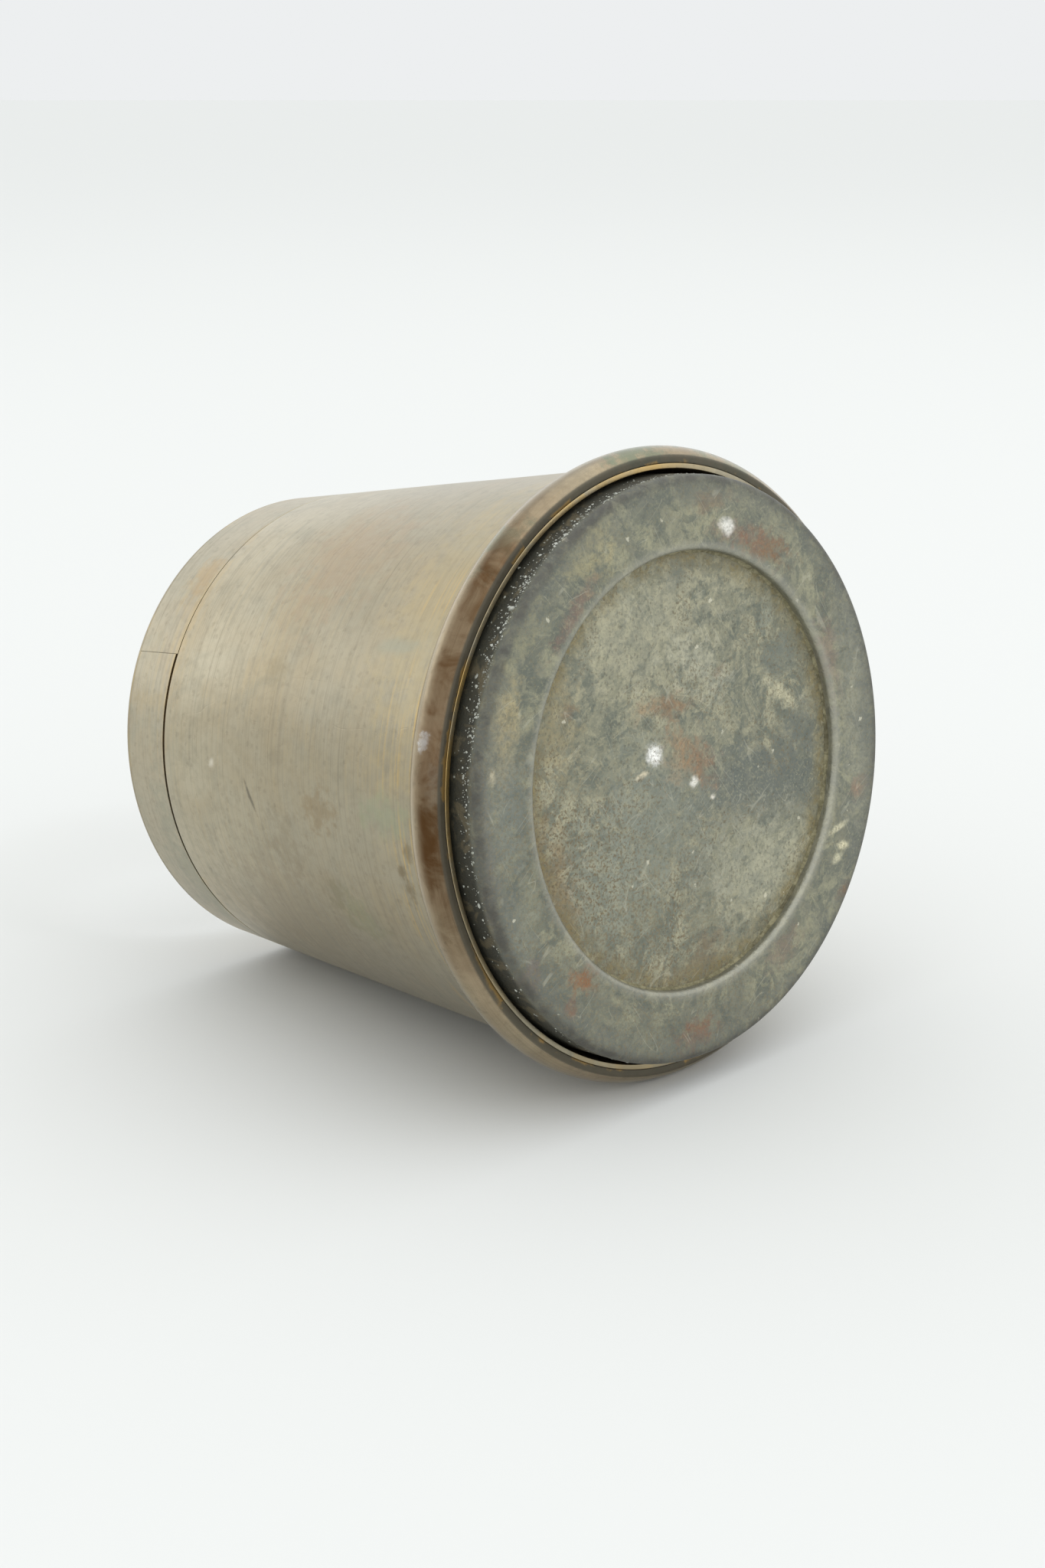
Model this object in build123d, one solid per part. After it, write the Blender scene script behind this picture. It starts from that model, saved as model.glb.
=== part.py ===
from build123d import *

import os
from math import asin, atan, degrees, radians, tan

# A round needle case in sheet brass: a tapered body on a stepped foot, with a slip-on lid.
#
# The case stands on its foot. The origin is the centre of the foot's resting face, +Z runs up the
# case's axis, and +Y is the side it lies on when it is laid down. All sizes are in millimetres.
#
# Every piece is turned about the axis, so each profile is drawn as (radius, height) in the XZ plane.
# The body and the lid band lie on one cone, as if the lid had been cut from the top of the body.

# Sheet thicknesses
WALL = 0.6               # body, collar and lid band
FOOT_SHEET = 0.9         # foot ring
DISC_SHEET = 0.8         # base disc
LID_SHEET = 0.9          # lid top

# Foot ring and base disc
FOOT_RADIUS = 34.75      # outer radius of the foot ring's straight wall
FOOT_STAND = 3.7         # how far the foot stands below the body's lower edge
FOOT_EDGE_ROUND = 0.9    # outside rounding between the foot's wall and its resting face
FOOT_SEAT_LENGTH = 1.6   # length of foot wall that is closed in against the body's taper
PANEL_RADIUS = 26.0      # radius of the sunken round panel under the foot
PANEL_DEPTH = 1.5        # how deep the panel lies above the resting face
PANEL_LIP_ROUND = 0.7    # outside rounding where the resting face turns up into the panel
DISC_LAP = 2.2           # how far the base disc reaches past the panel's edge, over the lip

# Body
BODY_HEIGHT = 57.95      # height of the tapered wall at the middle of its skewed mouth
BODY_TAPER = 4.26        # half angle of the cone, in degrees
FOOT_GAP = 0.6           # open crevice between the body's lower edge and the foot ring

MOUTH_SKEW = 1.0         # how far the hand-cut joint of body and lid runs above and below its middle
MOUTH_SKEW_ANGLE = 150.0 # direction of the joint's highest point, from +X, in degrees

# Half-round moulding round the body's lower edge
MOULDING_SECTION = 2.95  # radius of its section
MOULDING_PROUD = 2.23    # how far it stands out from the body wall
MOULDING_RISE = 2.4      # height of the section's centre above its flat lower end

# Collar that the lid slips over
COLLAR_SEAT = 10.0       # length soldered inside the body
COLLAR_HEADROOM = 2.0    # free height between the collar's top edge and the lid top
LID_CLEARANCE = 0.06     # radial clearance between collar and lid band

# Lid
LID_GAP = 0.15           # axial gap between body and lid on the close side of the seam
LID_HEIGHT = 10.5        # from the middle of the lid band's lower edge to the rim of the top
LID_EDGE_ROUND = 0.8     # rounding of the top's outer edge
LID_CROWN = 1.0          # rise of the top from its rim to its centre
LID_BORDER = 2.0         # flat border of the top, outside the crown
SEAM_ANGLE = 207.7       # direction of the lid band's butt seam, from +X, in degrees
SEAM_WIDTH = 0.1         # open width of the seam
SEAM_STEP = 0.35         # how much higher the band's lower edge is on the open side of the seam

# Wool pad inside
PAD_THICKNESS = 6.0
PAD_CLEARANCE = 0.5      # radial clearance to the foot ring's wall
PAD_EDGE_ROUND = 1.5

# Places that follow from the sizes above
SLOPE = tan(radians(BODY_TAPER))
BODY_FOOT_Z = FOOT_STAND
BODY_MOUTH_Z = BODY_FOOT_Z + BODY_HEIGHT
FOOT_SEAT_Z = BODY_FOOT_Z + FOOT_GAP / SLOPE
FOOT_TOP_Z = FOOT_SEAT_Z + FOOT_SEAT_LENGTH
MOULDING_Z = BODY_FOOT_Z + MOULDING_RISE
DISC_TOP_Z = PANEL_DEPTH + DISC_SHEET
LID_FOOT_Z = BODY_MOUTH_Z + LID_GAP
LID_RIM_Z = LID_FOOT_Z + LID_HEIGHT
LID_BAND_TOP_Z = LID_RIM_Z - LID_SHEET
COLLAR_FOOT_Z = BODY_MOUTH_Z - COLLAR_SEAT
COLLAR_SEAT_TOP_Z = BODY_MOUTH_Z - MOUTH_SKEW
COLLAR_TOP_Z = LID_BAND_TOP_Z - COLLAR_HEADROOM


def cone_inside(z):
    """Inner radius, at height z, of the cone that the body and the lid band share."""
    return FOOT_RADIUS + FOOT_GAP - SLOPE * (z - BODY_FOOT_Z)


def cone_outside(z):
    """Outer radius of that cone at height z."""
    return cone_inside(z) + WALL


def profile(*points):
    """A flat face in the XZ plane with the closed outline through points (radius, height)."""
    return Plane.XZ * make_face(Polyline(*points, close=True))


def rounded(face, point, radius):
    """The face with the corner at point (radius, height) rounded."""
    corner = face.vertices().sort_by_distance((point[0], 0, point[1]))[0]
    return fillet(corner, radius)


def turned(face):
    """The solid swept by the face round the case's axis."""
    return revolve(face, Axis.Z, 360)


def cone_tube(low, high, inner_offset, outer_offset):
    """A tube on the shared cone from height low to high. Offsets count outwards from its inside."""
    return turned(profile(
        (cone_inside(low) + inner_offset, low),
        (cone_inside(low) + outer_offset, low),
        (cone_inside(high) + outer_offset, high),
        (cone_inside(high) + inner_offset, high),
    ))


def joint_frame(height):
    """The place of the joint between body and lid, at a height above it. Local XY is the skewed cut."""
    turn = Rot(0, 0, MOUTH_SKEW_ANGLE)
    lean = Rot(0, -degrees(atan(MOUTH_SKEW / cone_outside(BODY_MOUTH_Z))), 0)
    return Pos(0, 0, BODY_MOUTH_Z + height) * turn * lean * turn.inverse()


def body_wall():
    """Tapered tube, open at both ends, with the mouth cut a little askew."""
    reach = 2 * cone_outside(BODY_FOOT_Z)
    above_mouth = joint_frame(0) * Pos(0, 0, LID_HEIGHT / 2) * Box(reach, reach, LID_HEIGHT)
    return cone_tube(BODY_FOOT_Z, BODY_MOUTH_Z + 2 * MOUTH_SKEW, 0, WALL) - above_mouth


def base_moulding():
    """Half-round bead soldered round the outside of the body's lower edge, flat at its lower end."""
    centre = cone_outside(MOULDING_Z) + MOULDING_PROUD - MOULDING_SECTION
    reach = 2 * MOULDING_SECTION
    section = Plane.XZ * Pos(centre, MOULDING_Z) * Circle(MOULDING_SECTION)
    outside_body = profile(
        (cone_outside(BODY_FOOT_Z), BODY_FOOT_Z),
        (centre + reach, BODY_FOOT_Z),
        (centre + reach, BODY_FOOT_Z + 2 * reach),
        (cone_outside(BODY_FOOT_Z + 2 * reach), BODY_FOOT_Z + 2 * reach),
    )
    return turned(section & outside_body)


def foot_ring():
    """Spun ring: a wall up into the body, a flat resting face, and a lip turned up inside it."""
    wall_inside = FOOT_RADIUS - FOOT_SHEET
    lip_inside = PANEL_RADIUS + FOOT_SHEET
    face = profile(
        (PANEL_RADIUS, 0),
        (FOOT_RADIUS, 0),
        (FOOT_RADIUS, FOOT_SEAT_Z),
        (cone_inside(FOOT_TOP_Z), FOOT_TOP_Z),
        (cone_inside(FOOT_TOP_Z) - FOOT_SHEET, FOOT_TOP_Z),
        (wall_inside, FOOT_SEAT_Z),
        (wall_inside, FOOT_SHEET),
        (lip_inside, FOOT_SHEET),
        (lip_inside, PANEL_DEPTH),
        (PANEL_RADIUS, PANEL_DEPTH),
    )
    face = rounded(face, (FOOT_RADIUS, 0), FOOT_EDGE_ROUND)
    face = rounded(face, (PANEL_RADIUS, 0), PANEL_LIP_ROUND)
    return turned(face)


def base_disc():
    """Flat disc soldered on the foot ring's lip. It closes the case and is the sunken panel."""
    return Pos(0, 0, PANEL_DEPTH) * extrude(Circle(PANEL_RADIUS + DISC_LAP), DISC_SHEET)


def neck_collar():
    """Sleeve soldered inside the body's mouth, standing up inside the lid."""
    seat = cone_tube(COLLAR_FOOT_Z, COLLAR_SEAT_TOP_Z, -LID_CLEARANCE - WALL, 0)
    neck = cone_tube(COLLAR_FOOT_Z, COLLAR_TOP_Z, -LID_CLEARANCE - WALL, -LID_CLEARANCE)
    return seat + neck


def lid_band():
    """Strip bent into a ring with a butt seam. Its lower edge is high beside the seam's open side."""
    band = cone_tube(LID_FOOT_Z - 2 * MOUTH_SKEW, LID_BAND_TOP_Z, 0, WALL)
    radius = cone_outside(LID_FOOT_Z)
    reach = 2 * radius
    below_joint = joint_frame(LID_GAP) * Pos(0, 0, -LID_HEIGHT / 2) * Box(2 * reach, 2 * reach, LID_HEIGHT)
    seam = Rot(0, 0, SEAM_ANGLE)
    slit = seam * Pos(radius, 0, LID_FOOT_Z) * Box(radius, SEAM_WIDTH, 3 * LID_HEIGHT)
    wedge = extrude(profile((0, 0), (reach, 0), (reach, SEAM_STEP * reach / radius)), reach)
    return band - below_joint - slit - joint_frame(LID_GAP) * seam * wedge


def lid_top():
    """Disc soldered on the band, with a rounded edge and a low crown pressed up inside its border."""
    edge = cone_outside(LID_BAND_TOP_Z)
    crown_edge = edge - LID_BORDER
    sphere = (crown_edge**2 + LID_CROWN**2) / (2 * LID_CROWN)
    arc = asin(crown_edge / sphere)

    def crown(rim_z):
        """Outline of the crown whose rim is at height rim_z, from the axis out to the border."""
        centre = rim_z + LID_CROWN - sphere
        return CenterArc((0, centre), sphere, 90, -degrees(arc))

    above, below = crown(LID_RIM_Z), crown(LID_BAND_TOP_Z)
    outline = [
        above,
        Line(above @ 1, (edge, LID_RIM_Z)),
        Line((edge, LID_RIM_Z), (edge, LID_BAND_TOP_Z)),
        Line((edge, LID_BAND_TOP_Z), below @ 1),
        below,
        Line(below @ 0, above @ 0),
    ]
    face = Plane.XZ * make_face(outline)
    return turned(rounded(face, (edge, LID_RIM_Z), LID_EDGE_ROUND))


def needle_pad():
    """Thick wool felt disc glued on the base disc, where the needles' points stand."""
    radius = FOOT_RADIUS - FOOT_SHEET - PAD_CLEARANCE
    top = DISC_TOP_Z + PAD_THICKNESS
    face = profile((0, DISC_TOP_Z), (radius, DISC_TOP_Z), (radius, top), (0, top))
    return turned(rounded(face, (radius, top), PAD_EDGE_ROUND))


PIECES = [
    body_wall,
    base_moulding,
    foot_ring,
    base_disc,
    neck_collar,
    lid_band,
    lid_top,
    needle_pad,
]

os.makedirs("parts", exist_ok=True)
for piece in PIECES:
    export_step(piece(), f"parts/{piece.__name__}.step")
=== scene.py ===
"""Looks of a tarnished brass needle case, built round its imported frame.

The case lies on its side, on the bead round its foot and on the edge of its lid. Each sub-assembly is
a class that keeps its sizes in millimetres, works its surfaces out with numpy and dresses them. Each
finish is a frozen dataclass that wires one material, out of effects that are shared node groups.
"""

import logging
from collections.abc import Callable
from dataclasses import dataclass
from enum import Enum
from math import acos, asin, atan2, cos, pi, radians, sin, sqrt, tan

import bpy
import numpy as np
from mathutils import Matrix, Vector


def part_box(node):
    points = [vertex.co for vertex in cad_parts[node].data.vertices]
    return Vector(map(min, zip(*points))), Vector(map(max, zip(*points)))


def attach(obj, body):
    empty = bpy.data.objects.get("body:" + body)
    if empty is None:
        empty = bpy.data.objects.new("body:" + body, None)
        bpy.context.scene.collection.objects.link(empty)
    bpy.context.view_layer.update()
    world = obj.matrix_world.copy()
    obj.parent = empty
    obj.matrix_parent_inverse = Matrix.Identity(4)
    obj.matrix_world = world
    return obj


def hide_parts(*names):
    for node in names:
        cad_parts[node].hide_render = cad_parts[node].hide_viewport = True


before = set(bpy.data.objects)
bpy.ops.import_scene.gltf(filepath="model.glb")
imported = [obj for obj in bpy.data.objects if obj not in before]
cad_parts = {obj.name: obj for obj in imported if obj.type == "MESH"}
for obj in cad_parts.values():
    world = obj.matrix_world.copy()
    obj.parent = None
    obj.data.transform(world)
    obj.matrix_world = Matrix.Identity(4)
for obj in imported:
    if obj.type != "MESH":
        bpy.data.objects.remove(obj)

MM = 0.001
ROUND = 2 * pi
LOG = logging.getLogger("needle_case")

Array = np.ndarray
Moved = tuple[Array, Array]
Place = Callable[[Array, Array, Array], Moved]
Triple = tuple[float, float, float]
Node = bpy.types.Node
Socket = bpy.types.NodeSocket
Tree = bpy.types.NodeTree
Object = bpy.types.Object
Material = bpy.types.Material


class Body(Enum):
    """The bodies that pieces ride on."""

    CASE = "case"
    LID = "lid"


class Lay(Enum):
    """Which way a surface lies, and so how stains are placed on it and which way it was brushed."""

    WALL = "round the axis"
    FACE = "square to the axis"


def tint(display: str) -> tuple[float, float, float, float]:
    """Linear colour of a display colour.

    Formula: each part goes through the sRGB curve, which is a straight line near black.

    Args:
        display: The colour as six hexadecimal digits.

    Returns:
        Red, green, blue and an opacity of 1, for a socket.
    """
    parts = [int(display[start:start + 2], 16) / 255 for start in (0, 2, 4)]
    linear = [part / 12.92 if part <= 0.04045 else ((part + 0.055) / 1.055) ** 2.4 for part in parts]
    return (*linear, 1.0)


def reach(node: str) -> Triple:
    """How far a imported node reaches.

    Args:
        node: The node's name.

    Returns:
        Its outer radius, its lowest height and its greatest height, in millimetres.
    """
    low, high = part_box(node)
    return high[0] / MM, low[2] / MM, high[2] / MM


# ---------------------------------------------------------------- sections and turned surfaces


def arc(centre: tuple[float, float], radius: float, start: float, end: float, steps: int = 40) -> Array:
    """Points on an arc: centre plus radius times (cosine, sine) of evenly spaced angles.

    Args:
        centre: Radius and height of the arc's centre.
        radius: The arc's own radius.
        start: First angle in degrees, 0 outwards and 90 up.
        end: Last angle in degrees.
        steps: Number of points.

    Returns:
        One complex number a point, radius plus height times i.
    """
    angle = np.radians(np.linspace(start, end, steps))
    return complex(*centre) + radius * np.exp(1j * angle)


def corners(*points: tuple[float, float]) -> Array:
    """Corner points of a section as complex numbers, radius plus height times i."""
    return np.array([complex(*point) for point in points])


def blurred(values: Array, width: float) -> Array:
    """Values round a closed loop, smoothed by a bell curve.

    Formula: each wave of the loop is scaled by exp(-(2 pi frequency width)^2 / 2).

    Args:
        values: Real or complex samples, evenly spaced round the loop.
        width: Standard deviation of the bell, in samples.

    Returns:
        The smoothed samples.
    """
    frequency = np.fft.fftfreq(values.size)
    smooth = np.fft.ifft(np.fft.fft(values) * np.exp(-0.5 * (ROUND * frequency * width) ** 2))
    return smooth if np.iscomplexobj(values) else smooth.real


@dataclass(frozen=True)
class Section:
    """A closed outline in millimetres, with how sharp it is outwards and inwards at each point.

    Attributes:
        line: Radius plus height times i, one complex number a point, anticlockwise.
        arris: 0 on flat stretches to 1 on an outward right angle.
        crevice: The same for inward corners.
        solid: True where the outline starts and ends on the axis.
    """

    line: Array
    arris: Array
    crevice: Array
    solid: bool = False

    # Even samples of the sharp outline.
    SAMPLES = 4096
    # How far along the outline a corner's wear reaches, in millimetres.
    WEAR_WIDTH = 0.35
    # Turning, in radians, that is worth one point.
    TURN_STEP = 0.16
    # Points wanted for each point that is spent on length alone.
    LENGTH_SHARE = 2.2

    @classmethod
    def of(cls, parts: list[Array], soften: float, count: int, solid: bool = False) -> "Section":
        """Softens a sharp outline and thins it out where it is straight.

        The outline is sampled evenly, blurred so that every corner gets a small radius, and sampled
        again at equal steps of length plus turning, so the corners keep most of the points. A solid
        section is blurred together with its mirror image, which keeps it square to the axis.

        Args:
            parts: Stretches of the outline in order, as complex points.
            soften: Width of the softening in millimetres.
            count: Points to keep.
            solid: True for an outline that runs from the axis back to the axis.

        Returns:
            The finished section.
        """
        sharp = np.concatenate(parts)
        if solid:
            sharp = np.concatenate([sharp, -np.conj(sharp[::-1])])
        elif np.sum(sharp.real * np.roll(sharp.imag, -1) - np.roll(sharp.real, -1) * sharp.imag) < 0:
            sharp = sharp[::-1]
        closed = np.append(sharp, sharp[0])
        along = np.concatenate([[0.0], np.cumsum(np.abs(np.diff(closed)))])
        even = np.linspace(0.0, along[-1], cls.SAMPLES, endpoint=False)
        step = even[1]
        placed = np.interp(even, along, closed.real) + 1j * np.interp(even, along, closed.imag)
        line = blurred(placed, soften / step)
        ahead = np.roll(line, -1) - line
        bend = np.angle(ahead / np.roll(ahead, 1))
        full = 0.5 * pi * step / (cls.WEAR_WIDTH * sqrt(ROUND))
        arris = np.clip(blurred(np.maximum(bend, 0), cls.WEAR_WIDTH / step) / full, 0, 1)
        crevice = np.clip(blurred(np.maximum(-bend, 0), cls.WEAR_WIDTH / step) / full, 0, 1)
        last = cls.SAMPLES // 2 if solid else cls.SAMPLES
        weight = np.abs(bend[:last]) / cls.TURN_STEP + count / (cls.LENGTH_SHARE * last)
        mass = np.concatenate([[0.0], np.cumsum(weight)])
        wanted = np.linspace(0.0, mass[-1], count, endpoint=solid)
        pick = np.interp(wanted, mass, np.arange(last + 1))

        def kept(values: Array) -> Array:
            """The samples at the picked places."""
            return np.interp(pick, np.arange(last + 1), np.append(values, values[0])[:last + 1])

        radius = kept(line.real)
        if solid:
            radius[[0, -1]] = 0.0
        return cls(np.maximum(radius, 0) + 1j * kept(line.imag), kept(arris), kept(crevice), solid)


@dataclass(frozen=True)
class Waves:
    """Slow unevenness of hand-worked sheet.

    Attributes:
        depth: Greatest height of the waves in millimetres.
        seed: Seed of the waves' directions.
        orders: Numbers of waves round the piece, lowest and highest.
        length: Shortest wave along the axis in millimetres.
    """

    depth: float
    seed: int
    orders: tuple[int, int] = (2, 9)
    length: float = 18.0

    def at(self, angle: Array, along: Array) -> Array:
        """Height of the waves, from -depth to depth.

        Formula: the mean of cosines of (order times angle, plus along over the wave's length, plus a
        seeded phase), times the depth.

        Args:
            angle: Directions in radians.
            along: Heights or radii in millimetres.

        Returns:
            Heights in millimetres.
        """
        draw = np.random.default_rng(self.seed)
        total = np.zeros(np.broadcast(angle, along).shape)
        orders = range(self.orders[0], self.orders[1] + 1)
        for order in orders:
            turns, phase = draw.uniform(-ROUND, ROUND), draw.uniform(0, ROUND)
            total += np.cos(order * angle + turns * along / self.length + phase)
        return self.depth * total / len(orders)


def mesh_piece(name: str, points: Array, faces: list[list[int]], layers: dict[str, Array]) -> Object:
    """A smooth-shaded object from points in millimetres.

    Args:
        name: Name of the piece.
        points: One row of X, Y, Z a vertex.
        faces: Vertex numbers of each face, anticlockwise from outside.
        layers: Named values, one a vertex, that the finishes read.

    Returns:
        The object, at the origin.
    """
    mesh = bpy.data.meshes.new(name)
    mesh.from_pydata((points * MM).tolist(), [], faces)
    mesh.polygons.foreach_set("use_smooth", np.ones(len(mesh.polygons), dtype=bool))
    for label, values in layers.items():
        mesh.attributes.new(label, "FLOAT", "POINT").data.foreach_set("value", values.astype(np.float32))
    mesh.update()
    piece = bpy.data.objects.new(name, mesh)
    bpy.context.scene.collection.objects.link(piece)
    return piece


def grid_faces(ids: Array, wrap_rows: bool, wrap_columns: bool) -> list[list[int]]:
    """Faces between neighbours in a grid of vertex numbers, with doubled corners dropped.

    Args:
        ids: Vertex numbers; rows run along the section and columns round the axis.
        wrap_rows: True where the last row joins the first.
        wrap_columns: True where the last column joins the first.

    Returns:
        Quads, and triangles where two corners are one vertex.
    """
    rows = np.vstack([ids, ids[:1]]) if wrap_rows else ids
    both = np.hstack([rows, rows[:, :1]]) if wrap_columns else rows
    quads = np.stack([both[:-1, :-1], both[:-1, 1:], both[1:, 1:], both[1:, :-1]], axis=-1).reshape(-1, 4)
    low_pole = quads[:, 0] == quads[:, 1]
    high_pole = quads[:, 2] == quads[:, 3]
    plain = ~(low_pole | high_pole)
    return quads[plain].tolist() + quads[low_pole][:, 1:].tolist() + quads[high_pole][:, :3].tolist()


def turned_piece(name: str, section: Section, place: Place, angles: Array, cut: bool = False) -> Object:
    """Carries a section round the axis.

    Formula: (radius cos angle, radius sin angle, height), where radius and height are the section's
    after place has moved them for that angle.

    Args:
        name: Name of the piece.
        section: The outline to carry.
        place: Takes radius, height and angle, and gives the moved radius and height.
        angles: Directions in radians.
        cut: True for a strip whose two ends are capped instead of joined.

    Returns:
        The object.
    """
    angle, radius = np.meshgrid(angles, section.line.real)
    height = np.repeat(section.line.imag[:, None], angles.size, axis=1)
    radius, height = place(radius, height, angle)
    ids = np.arange(angle.size).reshape(angle.shape)
    keep = np.ones(angle.size, dtype=bool)
    if section.solid:
        ids[0], ids[-1] = ids[0, 0], ids[-1, 0]
        keep[1:angles.size] = keep[-angles.size + 1:] = False
    numbers = np.cumsum(keep) - 1
    faces = grid_faces(numbers[ids], not section.solid, not cut)
    if cut:
        faces += [ids[::-1, 0].tolist(), ids[:, -1].tolist()]
    points = np.stack([radius * np.cos(angle), radius * np.sin(angle), height], axis=-1).reshape(-1, 3)
    layers = {
        "arris": np.repeat(section.arris, angles.size)[keep],
        "crevice": np.repeat(section.crevice, angles.size)[keep],
    }
    return mesh_piece(name, points[keep], faces, layers)


def whole_turn(count: int) -> Array:
    """Evenly spaced directions round the axis, in radians."""
    return np.linspace(0, ROUND, count, endpoint=False)


# ---------------------------------------------------------------- wiring of materials


class Wiring:
    """Adds nodes to one tree and joins them."""

    def __init__(self, tree: Tree) -> None:
        """Keeps the tree that the nodes go into."""
        self.tree = tree

    def feed(self, socket: Socket, value: object) -> None:
        """Links an input to a socket, or sets it to a plain value.

        Args:
            socket: The input.
            value: The socket to link, or the plain value.
        """
        if isinstance(value, Socket):
            self.tree.links.new(value, socket)
        else:
            socket.default_value = value

    def add(self, kind: str, settings: dict[str, object] | None = None, **inputs: object) -> Node:
        """Adds one node.

        Args:
            kind: The node's type after "ShaderNode".
            settings: The node's own properties.
            inputs: Values or sockets for named inputs; an underscore stands for a space.

        Returns:
            The node.
        """
        node = self.tree.nodes.new("ShaderNode" + kind)
        for key, value in (settings or {}).items():
            setattr(node, key, value)
        for key, value in inputs.items():
            self.feed(node.inputs[key.replace("_", " ")], value)
        return node

    def numbered(self, kind: str, settings: dict[str, object], inputs: dict[int, object]) -> Node:
        """Adds one node whose inputs are known by number.

        Args:
            kind: The node's type after "ShaderNode".
            settings: The node's own properties.
            inputs: Values or sockets by the input's number.

        Returns:
            The node.
        """
        node = self.add(kind, settings)
        for place, value in inputs.items():
            self.feed(node.inputs[place], value)
        return node

    def math(self, operation: str, *values: object) -> Socket:
        """A Math node's result."""
        return self.numbered("Math", {"operation": operation}, dict(enumerate(values))).outputs[0]

    def vector(self, operation: str, *values: object, scale: float | None = None) -> Socket:
        """A Vector Math node's result.

        Args:
            operation: The node's operation.
            values: Its vectors.
            scale: Its scale, where the operation has one.

        Returns:
            The number or the vector that the operation gives.
        """
        node = self.numbered("VectorMath", {"operation": operation}, dict(enumerate(values)))
        if scale is not None:
            node.inputs["Scale"].default_value = scale
        return node.outputs["Value" if operation in ("LENGTH", "DOT_PRODUCT") else "Vector"]

    def times(self, *factors: object) -> Socket:
        """The product of masks or numbers.

        Args:
            factors: Two or more of them.

        Returns:
            Their product.
        """
        product = factors[0]
        for factor in factors[1:]:
            product = self.math("MULTIPLY", product, factor)
        return product

    def xyz(self, x: object = 0.0, y: object = 0.0, z: object = 0.0) -> Socket:
        """A vector out of three numbers."""
        return self.add("CombineXYZ", X=x, Y=y, Z=z).outputs[0]

    def in_units(self, where: Socket, size: Socket) -> Socket:
        """Coordinates measured in units of a size."""
        return self.vector("DIVIDE", where, self.xyz(size, size, size))

    def flattened(self, where: Socket) -> Socket:
        """Coordinates with no height."""
        return self.vector("MULTIPLY", where, (1.0, 1.0, 0.0))

    def turned(self, where: Socket, angle: Socket) -> Socket:
        """Coordinates turned about Z."""
        return self.add("VectorRotate", {"rotation_type": "Z_AXIS"}, Vector=where, Angle=angle).outputs[0]

    def step(self, value: Socket, low: object, high: object, bottom: float = 0.0, top: float = 1.0) -> Socket:
        """A smooth step from bottom to top as the value goes from low to high."""
        ends = {"Value": value, "From_Min": low, "From_Max": high, "To_Min": bottom, "To_Max": top}
        return self.add("MapRange", {"interpolation_type": "SMOOTHSTEP"}, **ends).outputs["Result"]

    def noise(self, where: Socket, detail: float, roughness: float = 0.55, bend: object = 0.0) -> Socket:
        """Fractal noise with one unit of where as its coarsest grain, bent by itself."""
        settings = {"Scale": 1.0, "Detail": detail, "Roughness": roughness, "Distortion": bend}
        return self.add("TexNoise", Vector=where, **settings).outputs["Fac"]

    def blend(self, mask: object, under: object, over: object) -> Socket:
        """The colour over laid on the colour under, as far as the mask says."""
        settings = {"data_type": "RGBA", "clamp_factor": True}
        return self.numbered("Mix", settings, {0: mask, 6: under, 7: over}).outputs[2]

    def level(self, mask: object, under: object, over: object) -> Socket:
        """The number over in place of the number under, as far as the mask says."""
        settings = {"data_type": "FLOAT", "clamp_factor": True}
        return self.numbered("Mix", settings, {0: mask, 2: under, 3: over}).outputs[0]

    def effect(self, tree: Tree, **inputs: object) -> bpy.types.bpy_prop_collection:
        """Places a shared effect, with values or sockets for its inputs, and gives its outputs."""
        return self.add("Group", {"node_tree": tree}, **inputs).outputs

    def layer(self, label: str) -> Socket:
        """A value that the mesh carries at each point."""
        return self.add("Attribute", {"attribute_name": label}).outputs["Fac"]


class Kind(Enum):
    """Socket types of the shared effects."""

    NUMBER = "NodeSocketFloat"
    VECTOR = "NodeSocketVector"


@dataclass(frozen=True)
class Effects:
    """The shared effects, each a node group. Lengths inside them are in millimetres.

    Attributes:
        clouds: Cloudy patches.
        brushing: Fine lines round the axis.
        pits: Scattered spots.
        patch: One oval stain.
        edge: Rubbing along corners.
        scratches: Hairline scratches.
        round: Place on a round wall.
    """

    clouds: Tree
    brushing: Tree
    pits: Tree
    patch: Tree
    edge: Tree
    scratches: Tree
    round: Tree

    @classmethod
    def build(cls) -> "Effects":
        """Makes every effect once."""
        return cls(
            clouds=tarnish_clouds(), brushing=ring_brushing(), pits=pitting(), patch=stain_patch(),
            edge=worn_edge(), scratches=fine_scratches(), round=round_the_case(),
        )


def new_effect(
    name: str, inputs: dict[str, object], outputs: tuple[str, ...]
) -> tuple[Wiring, dict[str, Socket], Node]:
    """Starts a node group.

    Args:
        name: Name of the group.
        inputs: Each input's name and default; a tuple makes it a vector.
        outputs: Names of its number outputs.

    Returns:
        The wiring, the group's inputs by name, and its output node.
    """
    tree = bpy.data.node_groups.new(name, "ShaderNodeTree")
    for label, default in inputs.items():
        kind = Kind.VECTOR if isinstance(default, tuple) else Kind.NUMBER
        tree.interface.new_socket(label, in_out="INPUT", socket_type=kind.value).default_value = default
    for label in outputs:
        tree.interface.new_socket(label, in_out="OUTPUT", socket_type=Kind.NUMBER.value)
    source = tree.nodes.new("NodeGroupInput")
    sink = tree.nodes.new("NodeGroupOutput")
    return Wiring(tree), {socket.name: socket for socket in source.outputs}, sink


def tarnish_clouds() -> Tree:
    """Cloudy patches: fractal noise at a given size, cut to a soft mask between two levels.

    Returns:
        The node group.
    """
    inputs = {"Where": (0.0, 0.0, 0.0), "Size": 10.0, "Ragged": 0.6, "From": 0.45, "To": 0.6}
    wires, given, sink = new_effect("tarnish_clouds", inputs, ("Mask",))
    where = wires.in_units(given["Where"], given["Size"])
    grain = wires.noise(where, detail=6.0, roughness=0.62, bend=given["Ragged"])
    wires.feed(sink.inputs["Mask"], wires.step(grain, given["From"], given["To"]))
    return wires.tree


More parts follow.
